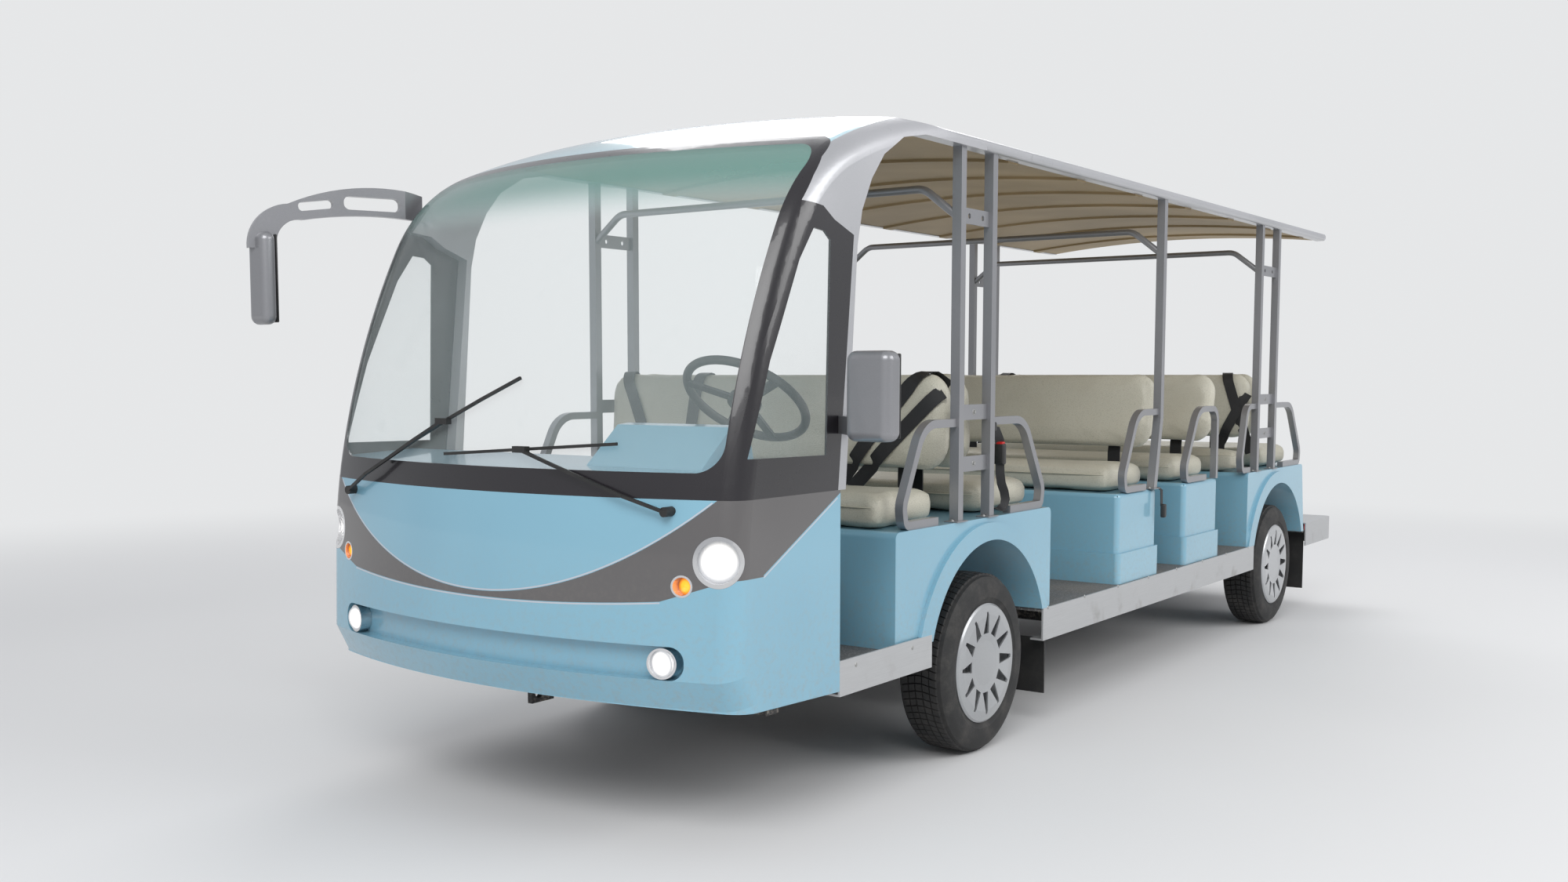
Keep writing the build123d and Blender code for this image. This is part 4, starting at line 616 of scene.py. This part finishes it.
# %% [markdown]
# ## Tyres
#
# CAD gives the tyre as a plain turned solid. The tread is cut from a band of squares: each square is
# inset and pushed out, which leaves blocks with grooves between them. Turning each rib a little
# against its neighbour makes the cross grooves slant, as on a road tyre.

# %% Tyre with tread
rim_radius = 0.170
tread_steps = 72
tread_ribs = 5
tread_half = 0.059
tread_slant = 0.56
crown_drop = 0.0012
groove_depth = 0.0065
groove_half_width = 0.0028


def from_axle(vert, centre):
    """The way from a tyre's axle straight out to one of its points."""
    away = vert.co - centre
    return Vector((away.x, 0, away.z))


def tyre(name, axle_x, side, body):
    """One tyre about its wheel's centre, on its wheel's body, in place of the CAD ring."""
    half = tyre_width / 2
    base = tyre_radius - groove_depth
    centre = Vector((axle_x, side * wheel_y, hub_z))
    wall = [
        (rim_radius, -0.064),
        (rim_radius + 0.010, -0.070),
        (rim_radius + 0.020, -0.0765),
        (rim_radius + 0.030, -0.0785),
        (rim_radius + 0.034, -half + 0.0005),
        (tyre_radius - 0.050, -half),
        (tyre_radius - 0.030, -half + 0.004),
        (base - 0.006, -tread_half - 0.010),
    ]
    crown = []
    for rib in range(tread_ribs + 1):
        radius = base - crown_drop * abs(rib - tread_ribs / 2)
        crown.append((radius, -tread_half + 2 * tread_half * rib / tread_ribs))
    outline = wall + crown + [(radius, -out) for radius, out in reversed(wall)]
    bm = bmesh.new()
    verts = [bm.verts.new(centre + Vector((0, out, radius))) for radius, out in outline]
    edges = [bm.edges.new(pair) for pair in zip(verts, verts[1:] + verts[:1])]
    spun(bm, verts + edges, centre, (0, 1, 0), tread_steps)
    bmesh.ops.recalc_face_normals(bm, faces=list(bm.faces))
    for vert in bm.verts:
        away = vert.co - centre
        if abs(away.y) < tread_half + 0.001 and from_axle(vert, centre).length > base - 0.01:
            slant = tread_slant * abs(away.y) / tread_half * 2 * pi / tread_steps
            vert.co = centre + Matrix.Rotation(slant, 3, "Y") @ away
    tread = []
    for face in bm.faces:
        away = face.calc_center_median() - centre
        if abs(away.y) < tread_half and away.length > base - 0.008:
            tread.append(face)
    bmesh.ops.inset_individual(bm, faces=tread, thickness=groove_half_width, depth=0.0)
    for vert in {vert for face in tread if face.is_valid for vert in face.verts}:
        vert.co += from_axle(vert, centre).normalized() * groove_depth
    for vert in bm.verts:
        out = from_axle(vert, centre)
        if out.length > tyre_radius:
            vert.co -= out.normalized() * (out.length - tyre_radius)
    piece = finished(bm, name, finishes["tyre"], body, 30)
    return piece


for end, axle_x in (("front_", front_axle_x), ("rear_", rear_axle_x)):
    for label, side in ((end + "left", 1), (end + "right", -1)):
        made = tyre("tread_tyre_" + label, axle_x, side, "wheel_" + label)
        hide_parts("tyre_" + label)

# %% [markdown]
# ## Fittings that sit on a surface
#
# Bolts, straps and beads have to lie exactly on the part that carries them. A straight line is sent at
# a piece's mesh, and the place and direction where it lands put the fitting there.

# %% Find a place on a surface
surfaces = {}


def landing(holder, start, way):
    """Place and surface direction where a straight line from start meets an object, or None twice."""
    if holder.name not in surfaces:
        probe = bmesh.new()
        probe.from_mesh(holder.data)
        surfaces[holder.name] = BVHTree.FromBMesh(probe)
        probe.free()
    place, normal, _, _ = surfaces[holder.name].ray_cast(Vector(start), Vector(way))
    return place, normal


def stud(bm, place, normal, radius, high, sides=6):
    """Adds a bolt head on a washer, standing on a surface."""
    stand = Vector(normal).to_track_quat("Z", "Y").to_matrix().to_4x4()
    for wide, rise, count in ((1.6, 0.35, 14), (1.0, 1.0, sides)):
        centre = Vector(place) + Vector(normal) * high * (rise / 2 - 0.05)
        bmesh.ops.create_cone(
            bm, cap_ends=True, segments=count, radius1=radius * wide, radius2=radius * wide * 0.86,
            depth=high * rise, matrix=Matrix.Translation(centre) @ stand,
        )


def lay(path, holder, start, way, lift):
    """Adds the place where a line against the way meets the holder, lifted off it, if it does."""
    way = Vector(way)
    spot, _ = landing(holder, start, -way)
    if spot is not None:
        path.append((spot + way * lift, way))


def ribbon(bm, path, wide, thick):
    """Adds a flat strap along (spot, way) pairs. Each way points out of its upper face there."""
    spots = [Vector(spot) for spot, _ in path]
    faces = []
    edge = None
    for index, spot in enumerate(spots):
        along = spots[min(index + 1, len(spots) - 1)] - spots[max(index - 1, 0)]
        side = along.cross(Vector(path[index][1])).normalized() * wide / 2
        if edge is None:
            left = bm.verts.new(spot - side)
            edge = bm.edges.new((left, bm.verts.new(spot + side)))
            continue
        made = bmesh.ops.extrude_edge_only(bm, edges=[edge])["geom"]
        new = [item for item in made if isinstance(item, bmesh.types.BMVert)]
        near = min(new, key=lambda vert: (vert.co - left.co).length)
        far = next(vert for vert in new if vert is not near)
        near.co = spot - side
        far.co = spot + side
        left = near
        sides = [item for item in made if isinstance(item, bmesh.types.BMEdge)]
        edge = next(item for item in sides if near in item.verts and far in item.verts)
        faces += [item for item in made if isinstance(item, bmesh.types.BMFace)]
    bmesh.ops.recalc_face_normals(bm, faces=faces)
    bmesh.ops.solidify(bm, geom=faces, thickness=thick)


# %% [markdown]
# ## Piping
#
# A covered cord is sewn round each pad's face, 20 mm in from its edge and just outside the pressed
# seam. It stands a few millimetres proud and catches the light, so the pads read as upholstery. It is
# laid on the swollen pad, and is the same leatherette in a darker tone, with random blotches.

# %% Piping round each pad
piping_finish = Finish("piping leatherette", (0.40, 0.38, 0.30), 0.42, 0.0, 0.15, 0.3)
piping_blotch = piping_finish.noise(24.0, 3.0)
# The piping is a darker tone of the seat leatherette, varied in random blotches.
piping_finish.set("Base Color", piping_finish.mix(piping_blotch, (0.34, 0.32, 0.25), (0.46, 0.44, 0.35)))
piping_inset = 0.020
piping_wide = 0.0075
piping_thick = 0.0032
piping_sunk = 0.3 * piping_thick
piping_round = 0.0012
least_corner = 0.030
corner_steps = 7


def rounded_loop(half_long, half_wide, radius, straight_step=0.05):
    """Points round a rectangle with round corners, in order, ending where they start."""
    loop = []
    for turn, (sign_x, sign_y) in enumerate(((1, 1), (-1, 1), (-1, -1), (1, -1))):
        centre = Vector((sign_x * (half_long - radius), sign_y * (half_wide - radius), 0))
        for step in range(corner_steps):
            angle = pi / 2 * (turn + step / (corner_steps - 1))
            loop.append(centre + Vector((cos(angle), sin(angle), 0)) * radius)
    spread = []
    for spot, following in zip(loop, loop[1:] + loop[:1]):
        count = max(1, round((following - spot).length / straight_step))
        spread += [spot.lerp(following, part / count) for part in range(count)]
    return spread + [spread[0]]


bm = bmesh.new()
for name, (width, deep, high, corner, place) in pad_forms.items():
    way = place.to_3x3() @ Vector((0, 0, 1))
    radius = max(corner - piping_inset, least_corner)
    path = []
    for flat in rounded_loop(deep / 2 - piping_inset, width / 2 - piping_inset, radius):
        lay(path, pads[name], place @ (flat + Vector((0, 0, high * 3))), way, -piping_sunk)
    ribbon(bm, path, piping_wide, piping_thick)
rims = [edge for edge in bm.edges if len(edge.link_faces) == 2 and edge.calc_face_angle() > 1.2]
rounded(bm, rims, piping_round, 1)
piping = finished(bm, "seat_piping", piping_finish, "body", 60)
print("piping", len(piping.data.polygons), "faces")

# %% [markdown]
# ## Seat belts
#
# The belts are black woven webbing, 46 mm wide. The weave is a herringbone, which two crossed waves
# give, and a painted sheen lightens the colour along its ribs. Each belt comes over the top of a backrest,
# lies down its face and goes into the gap above the cushion. Straps are too thin for a cloth
# remesh, so they are laid on the pads directly.

# %% Webbing and belts on the backrests
webbing = Finish("black webbing", (0.012, 0.012, 0.013), 0.55)
ribs_across = (webbing.axis("Y") + webbing.axis("Z") * 0.5) * 2600.0
rib_wave = webbing.node("ShaderNodeMath", {"operation": "SINE"}, {0: ribs_across})
cross_wave = webbing.node("ShaderNodeMath", {"operation": "SINE"}, {0: webbing.axis("Z") * 3400.0})
# Painted sheen: the crests of the ribs are painted lighter than the black between them.
rib_sheen_black = webbing.mix(rib_wave.above(0.0, 1.0), (0.010, 0.010, 0.011), (0.030, 0.030, 0.032))
webbing.set("Base Color", rib_sheen_black)
webbing.bump(rib_wave * 0.5 + cross_wave * 0.5, 0.4, 0.0006)
plastic = black_rubber("moulded black plastic", 0.018, 0.38, 0.1)
red_button = Finish("red release button", (0.50, 0.012, 0.010), 0.35)
red_button.bump(red_button.noise(300.0, 2.0), 0.1, 0.0003)
bolt_steel = Finish("zinc plated bolts", (0.42, 0.42, 0.41), 0.35, 0.9)
bolt_steel.set("Roughness", 0.28 + bolt_steel.noise(90.0, 3.0) * 0.25)

# Columns: row, y at the top, y at the cushion
belt_table = [
    ("row_1", -0.568, -0.456),
    ("row_1", -0.272, -0.302),
    ("row_1", 0.546, 0.342),
    ("row_1", 0.644, 0.414),
    ("row_5", 0.578, 0.660),
    ("row_5", 0.660, 0.560),
    ("row_5", -0.578, -0.660),
    ("row_5", -0.660, -0.560),
]
belt_wide = 0.046
belt_thick = 0.0016
belt_lift = 0.0062
wrap_lift = 0.00806
belt_foot_z = 0.890
belt_tuck_z = 0.815
back_drops = (0.060, 0.030)
over_top = 0.120
wrap_steps = 10
face_steps = 12
back_tops = {name: front_axle_x + x_back - lean for name, _, _, x_back, _, lean in seat_rows}
bm = bmesh.new()
for row, y_top, y_foot in belt_table:
    back = pads[row + "_backrest"]
    top_x = back_tops[row]
    crest, _ = landing(back, (top_x, y_top, 1.5), (0, 0, -1))
    shoulder_z = crest.z - back_thick / 2
    slope = (y_foot - y_top) / (shoulder_z - belt_foot_z)
    path = []
    for drop in back_drops:
        y = y_top - slope * (drop + over_top)
        lay(path, back, (top_x - 0.4, y, shoulder_z - drop), (-1, 0, 0), belt_lift)
    for step in range(wrap_steps + 1):
        angle = pi * (1 - step / wrap_steps)
        out = Vector((cos(angle), 0, sin(angle)))
        y = y_top - slope * over_top * (1 - step / wrap_steps)
        lay(path, back, Vector((top_x, y, shoulder_z)) + out * 0.3, out, wrap_lift)
    for step in range(face_steps):
        z = shoulder_z + (belt_foot_z - shoulder_z) * (step + 1) / face_steps
        y = y_top + slope * (shoulder_z - z)
        lay(path, back, (top_x + 0.5, y, z), (1, 0, 0), belt_lift)
    tuck = path[-1][0].copy()
    tuck.y += slope * (tuck.z - belt_tuck_z)
    tuck.z = belt_tuck_z
    path.append((tuck, (1, 0, 0)))
    ribbon(bm, path, belt_wide, belt_thick)
belts = finished(bm, "seat_belts", webbing, "body", 50)

# %% [markdown]
# Two loose belt ends show beside the posts: a buckle on its stalk with a curl of webbing by the front
# door post, and a tongue that hangs over the box at the middle post.

# %% Buckle, curl and tongue at the posts
post_y = 0.718
# Columns: place on the strap, and the way its upper face looks there
curl_path = [
    ((1.150, 0.712, 1.010), (1, 0.6, 1)),
    ((1.118, 0.714, 1.000), (1, 0.6, 0.2)),
    ((1.098, 0.716, 0.970), (1, 0.6, 0.2)),
    ((1.094, 0.716, 0.900), (1, 0.6, 0.2)),
    ((1.092, 0.716, 0.865), (1, 0.6, 0.2)),
    ((1.082, 0.716, 0.832), (1, 0.6, 0.2)),
    ((1.062, 0.716, 0.805), (1, 0.6, -0.3)),
    ((1.052, 0.716, 0.780), (1, 0.6, -0.1)),
    ((1.064, 0.716, 0.759), (-0.6, 0.6, 1)),
    ((1.090, 0.716, 0.751), (-0.3, 0.4, 1)),
    ((1.122, 0.716, 0.756), (0, 0.3, 1)),
]
hang_path = [
    ((-0.215, 0.700, box_top + 0.004), (0, 0, 1)),
    ((-0.215, 0.735, box_top + 0.005), (0, 0.3, 1)),
    ((-0.215, 0.7475, box_top - 0.006), (0, 1, 0.6)),
    ((-0.215, 0.7485, 0.700), (0, 1, 0)),
    ((-0.215, 0.7490, 0.668), (0, 1, 0)),
]
curl_wide = 0.028
hang_wide = 0.022
end_thick = 0.002
bm = bmesh.new()
ribbon(bm, curl_path, curl_wide, end_thick)
ribbon(bm, hang_path, hang_wide, end_thick)
ends = finished(bm, "loose_belt_ends", webbing, "body", 50)
# Columns: middle, size, edge's radius
buckle_blocks = [
    ((1.094, 0.716, 0.925), (0.022, 0.036, 0.066), 0.006),
    ((1.152, 0.714, 1.012), (0.030, 0.028, 0.030), 0.006),
    ((-0.215, 0.7560, 0.650), (0.024, 0.018, 0.052), 0.005),
]
bm = bmesh.new()
for middle, size, round_by in buckle_blocks:
    block(bm, middle, size, round_by, 3)
buckles = finished(bm, "belt_buckles", plastic, "body")
bm = bmesh.new()
block(bm, (1.094, 0.716, 0.9555), (0.018, 0.028, 0.016), 0.004, 3)
button = finished(bm, "buckle_button", red_button, "body")
print("belts", len(belts.data.polygons), "faces")

# %% [markdown]
# ## Bolts and base plates
#
# Each post stands on a small welded plate, held to the seat box by two bolts, and the rungs between
# the door posts are bolted too. Twelve screws, evenly spaced, hold each sill to the floor's edge.

# %% Plates, bolts and screws
post_xs = (1.380, 1.180, -0.185, -1.435, -1.680)
ladder_xs = ((post_xs[0] + post_xs[1]) / 2, (post_xs[3] + post_xs[4]) / 2)
rung_zs = (1.060, 0.905)
plate_size = (0.066, 0.046, 0.004)
plate_top = box_top + plate_size[2]
bolt_shift = 0.0245
outside_y = 1.2
screw_count = 12
screw_inset = 0.08
screw_drop = 0.022
sill_low, sill_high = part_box("side_sills")
screw_step = (sill_high.x - sill_low.x - 2 * screw_inset) / (screw_count - 1)
plates = bmesh.new()
bolts = bmesh.new()


def screwed(node, x, side, z, radius, high, sides):
    """Puts a bolt head where a line from beside the bus meets a CAD node, unless it misses."""
    place, normal = landing(frame["nodes"][node], (x, side * outside_y, z), (0, -side, 0))
    if place is not None:
        stud(bolts, place, normal, radius, high, sides)


for side in (1, -1):
    for x in post_xs:
        block(plates, (x, side * post_y, box_top + plate_size[2] / 2), plate_size, 0.001, 1)
        for shift in (-bolt_shift, bolt_shift):
            stud(bolts, (x + shift, side * post_y, plate_top), (0, 0, 1), 0.0045, 0.005, 6)
    for x in ladder_xs:
        for z in rung_zs:
            screwed("roof_posts", x, side, z, 0.006, 0.005, 6)
    for step in range(screw_count):
        x = sill_low.x + screw_inset + step * screw_step
        screwed("side_sills", x, side, sill_high.z - screw_drop, 0.004, 0.002, 12)
# The base plates take the darker silver copy too, which is painted shade.
base_plates = finished(plates, "post_base_plates", shade_darkened_silver, "body")
bolt_heads = finished(bolts, "body_bolts", bolt_steel, "body")
print("bolts", len(bolt_heads.data.polygons), "faces")

# %% [markdown]
# ## Edge beads as painted highlights
#
# A thin pale bead follows the nose panel's curved edge and the bumper's upper edge, where the blue
# mouldings meet the grey corner panels. It is a painted highlight: pale paint laid where these edges
# catch the light. It is laid on both mouldings just inside their edges.

# %% Pale highlight beads on nose and bumper
# Pale paint for the painted edge highlight on the beads; the dial marks use it too.
highlight_and_mark_paint = Finish("pale paint for edge highlights and dial marks", (0.50, 0.52, 0.57), 0.3, 0.0, 0.6)
highlight_and_mark_paint.set("Roughness", 0.26 + highlight_and_mark_paint.noise(30.0, 3.0) * 0.1)
nose_half = 0.690
nose_low = 0.620
nose_rise = 0.255
bumper_half = 0.560
bumper_low = 0.606
bumper_rise = 0.024
# The bumper's wing, seen from the side: x and z at its front and at its rear
wing_front = (2.395, 0.690)
wing_rear = (2.070, 0.861)
wing_inset = 0.006
bead_inset = 0.0035
bead_steps = 56
wing_steps = 16
bead_wide = 0.0034
bead_thick = 0.0010
bead_lift = 0.0002


def bead(bm, node, starts, way):
    """Lays a pale bead, a painted edge highlight, along the places where lines from the starts meet a
    moulding.
    """
    path = []
    for start in starts:
        place, normal = landing(frame["nodes"][node], start, way)
        if place is not None and normal.dot(Vector(way)) < -0.2:
            path.append((place + normal * bead_lift, normal))
    ribbon(bm, path, bead_wide, bead_thick)


def arc_starts(half, low, rise, reach, inset):
    """Points ahead of the bus on a hanging arc, which is low in the middle and rises to its ends."""
    radius = (half**2 + rise**2) / (2 * rise)
    starts = []
    for step in range(bead_steps + 1):
        y = half * reach * (2 * step / bead_steps - 1)
        starts.append((3.2, y, low + radius - sqrt(radius**2 - y**2) + inset))
    return starts


bm = bmesh.new()
nose_starts = arc_starts(nose_half, nose_low, nose_rise, 0.985, bead_inset)
bead(bm, "nose_panel", nose_starts, (-1, 0, 0))
bumper_starts = arc_starts(bumper_half, bumper_low, bumper_rise, 1.0, -bead_inset)
bead(bm, "front_bumper", bumper_starts, (-1, 0, 0))
for side in (1, -1):
    wing_starts = []
    for step in range(wing_steps + 1):
        share = step / wing_steps
        x = wing_front[0] + (wing_rear[0] - wing_front[0]) * share
        z = wing_front[1] + (wing_rear[1] - wing_front[1]) * share - wing_inset
        wing_starts.append((x, side * 1.3, z))
    bead(bm, "front_bumper", wing_starts, (0, -side, 0))
beads = finished(bm, "edge_highlight_beads", highlight_and_mark_paint, "body", 40)

# %% [markdown]
# ## Driver's place
#
# The instrument hump gets two dials in black bezels and a row of rocker switches. The steering
# wheel's hub gets its horn button. It turns with the wheel, so it rides on that body.

# %% Dials, switches and horn
dial_face = Finish("dial face", (0.02, 0.02, 0.022), 0.25, 0.0, 0.4)
tick = dial_face.noise(260.0, 1.0).above(0.55, 0.6)
dial_face.set("Base Color", dial_face.mix(tick * 0.3, (0.015, 0.015, 0.017), (0.22, 0.24, 0.25)))
bezel = [(0.030, 0.0), (0.038, 0.0), (0.038, 0.006), (0.035, 0.009), (0.031, 0.006), (0.030, 0.0)]
face_radius = 0.0308
face_thick = 0.003
face_lift = 0.002
mark_size = (0.0009, 0.005, 0.0006)
mark_place = (0, 0.0255, 0.0018)
mark_turns = [-130 + step * 32.5 for step in range(9)]
hand_size = (0.0012, 0.024, 0.0006)
hand_place = (0, 0.008, 0.0026)
hand_turn = 128
switch_size = (0.010, 0.026, 0.016)
switch_drop = 0.020
hump = frame["nodes"]["dashboard"]
rims = bmesh.new()
faces = bmesh.new()
needles = bmesh.new()


def needle(stand, size, place, turn):
    """Adds a flat bar to the dial that stands there, turned about the dial's middle in degrees."""
    bar = bmesh.ops.create_cube(needles, size=1.0)["verts"]
    bmesh.ops.scale(needles, verts=bar, vec=size)
    bmesh.ops.translate(needles, verts=bar, vec=place)
    matrix = stand @ Matrix.Rotation(radians(turn), 4, "Z")
    bmesh.ops.transform(needles, verts=bar, matrix=matrix)


for y in (0.330, 0.430):
    place, normal = landing(hump, (1.9, y, 0.990), (1, 0, 0))
    turned(rims, bezel, place, normal)
    upright = normal.to_track_quat("Z", "Y").to_matrix().to_4x4()
    stand = Matrix.Translation(place + normal * face_lift) @ upright
    bmesh.ops.create_cone(
        faces, cap_ends=True, segments=32, radius1=face_radius, radius2=face_radius,
        depth=face_thick, matrix=stand,
    )
    for turn in mark_turns:
        needle(stand, mark_size, mark_place, turn)
    needle(stand, hand_size, hand_place, hand_turn)
panel, _ = landing(hump, (1.9, 0.235, 0.972), (1, 0, 0))
for step in range(4):
    block(rims, panel + Vector((-0.004, 0, 0.027 - step * switch_drop)), switch_size, 0.002, 2)
dial_rims = finished(rims, "dial_rims_and_switches", plastic, "body")
dial_faces = finished(faces, "dial_faces", dial_face, "body")
dial_marks = finished(needles, "dial_marks", highlight_and_mark_paint, "body")
joints = frame["record"]["behaviour"]["joints"]
wheel_joint = next(joint for joint in joints if joint["name"] == "steering_wheel_turn")
bm = bmesh.new()
button_form = [(0.0, 0.010), (0.018, 0.009), (0.030, 0.005), (0.034, 0.0), (0.034, -0.002), (0.0, -0.002)]
turned(bm, button_form, Vector(wheel_joint["pos_m"]), Vector(wheel_joint["axis"]))
horn = finished(bm, "horn_button", plastic, "steering_wheel")

# %% [markdown]
# ## Mirror glass
#
# Each mirror head holds a silvered glass on a thin black rim, a little larger than the glass.

# %% Mirror glasses
# Columns: centre of the head, size of the head
mirror_heads = [
    ((2.150, 0.900, 1.119), (0.070, 0.130, 0.224)),
    ((2.590, -0.9225, 1.453), (0.050, 0.085, 0.270)),
]
rim_thick = 0.006
rim_inset = 0.014
glass_thick = 0.003
glass_inset = 0.026
glass_ahead = 0.0028
glasses = bmesh.new()
rims = bmesh.new()
for (head_x, head_y, head_z), (deep, wide, high) in mirror_heads:
    face_x = head_x - deep / 2
    rim_size = (rim_thick, wide - rim_inset, high - rim_inset)
    glass_size = (glass_thick, wide - glass_inset, high - glass_inset)
    block(rims, (face_x, head_y, head_z), rim_size, 0.0028, 2)
    block(glasses, (face_x - glass_ahead, head_y, head_z), glass_size, 0.0012, 2)
mirror_rims = finished(rims, "mirror_rims", plastic, "body")
mirror_glasses = finished(glasses, "mirror_glasses", mirror_face, "body")

# %% [markdown]
# ## Camera
#
# The camera was solved from the photograph's straight edges. Its optical axis doesn't pass through
# the middle of the picture, so the lens is shifted by that distance instead of being turned.

# %% Camera at the photograph's place
photo_width = 2000.0
photo_height = 1125.0
focal_pixels = 1869.082
axis_pixel = (974.989, 631.391)
camera_place = (5.2372, 2.7995, 1.1725)
yaw = radians(215.84)
pitch = radians(-4.7)
camera_data = bpy.data.cameras.new("photo_camera")
camera_data.sensor_width = 36.0
camera_data.lens = focal_pixels / photo_width * camera_data.sensor_width
camera_data.shift_x = (photo_width / 2 - axis_pixel[0]) / photo_width
camera_data.shift_y = (axis_pixel[1] - photo_height / 2) / photo_width
camera_data.clip_end = 200.0
camera = linked("photo_camera", camera_data)
forward = Vector((cos(pitch) * cos(yaw), cos(pitch) * sin(yaw), sin(pitch)))
camera.location = camera_place
camera.rotation_euler = forward.to_track_quat("-Z", "Y").to_euler()
bpy.context.scene.camera = camera

# %% [markdown]
# ## Studio
#
# The floor and the backdrop are pale, and the light is soft from all round, with one broad lamp to
# the front left that shapes the panels. The pale background comes from the world's colour for camera
# and glass rays, and not from more light on the bus. Far from the bus the floor takes the backdrop's
# own colour, so that no horizon shows behind it.

# %% Floor, world and lamps
backdrop_color = (0.86, 0.87, 0.88)
backdrop_strength = 0.92
floor_half = 60.0
fade_from = 4.2
fade_to = 9.0
sky_color = (0.94, 0.96, 1.0)
sky_strength = 0.60
bm = bmesh.new()
bmesh.ops.create_grid(bm, x_segments=1, y_segments=1, size=floor_half)
floor_mesh = bpy.data.meshes.new("studio_floor")
bm.to_mesh(floor_mesh)
bm.free()
floor = linked("studio_floor", floor_mesh)
floor_finish = Finish("studio floor", (0.72, 0.72, 0.72), 0.8)
cloud = floor_finish.noise(0.4, 2.0)
floor_finish.set("Base Color", floor_finish.mix(cloud, (0.70, 0.70, 0.70), (0.73, 0.73, 0.73)))
far_out = (floor_finish.axis("X") ** 2.0 + floor_finish.axis("Y") ** 2.0) ** 0.5
far_light = {"Color": (*backdrop_color, 1), "Strength": backdrop_strength}
far_glow = floor_finish.node("ShaderNodeEmission", None, far_light)
floor_blend = floor_finish.node("ShaderNodeMixShader", None, {0: far_out.above(fade_from, fade_to)})
tree = floor_finish.tree
tree.links.new(floor_finish.shader.outputs[0], floor_blend.socket.node.inputs[1])
tree.links.new(far_glow.socket, floor_blend.socket.node.inputs[2])
tree.links.new(floor_blend.socket, tree.nodes["Material Output"].inputs["Surface"])
floor_mesh.materials.append(floor_finish.material)

world = bpy.data.worlds.new("studio")
bpy.context.scene.world = world
world.use_nodes = True
tree = world.node_tree
shown = tree.nodes.new("ShaderNodeLightPath")
sky = tree.nodes["Background"]
sky.inputs["Color"].default_value = (*sky_color, 1)
sky.inputs["Strength"].default_value = sky_strength
backdrop = tree.nodes.new("ShaderNodeBackground")
backdrop.inputs["Color"].default_value = (*backdrop_color, 1)
backdrop.inputs["Strength"].default_value = backdrop_strength
either = tree.nodes.new("ShaderNodeMath")
either.operation = "MAXIMUM"
tree.links.new(shown.outputs["Is Camera Ray"], either.inputs[0])
tree.links.new(shown.outputs["Is Transmission Ray"], either.inputs[1])
blend = tree.nodes.new("ShaderNodeMixShader")
tree.links.new(either.outputs[0], blend.inputs[0])
tree.links.new(sky.outputs[0], blend.inputs[1])
tree.links.new(backdrop.outputs[0], blend.inputs[2])
tree.links.new(blend.outputs[0], tree.nodes["World Output"].inputs["Surface"])


def soft_lamp(name, place, target, size, power):
    """Large square lamp aimed at a point."""
    data = bpy.data.lights.new(name, "AREA")
    data.shape = "RECTANGLE"
    data.size = size[0]
    data.size_y = size[1]
    data.energy = power
    lamp = linked(name, data)
    lamp.location = place
    lamp.rotation_euler = (Vector(target) - Vector(place)).to_track_quat("-Z", "Y").to_euler()


# Columns: name, place, the point it is aimed at, size, power in watts
lamp_table = [
    ("broad_front_lamp", (7.5, 3.5, 6.0), (1.0, 0, 0.9), (6.0, 4.0), 400),
    ("left_side_lamp", (-1.5, 7.0, 4.5), (-0.6, 0, 0.8), (7.0, 3.0), 260),
    ("high_back_lamp", (-6.0, -4.0, 6.5), (-0.5, 0, 1.4), (6.0, 4.0), 240),
]
for row in lamp_table:
    soft_lamp(*row)
bpy.context.scene.view_settings.view_transform = "Standard"
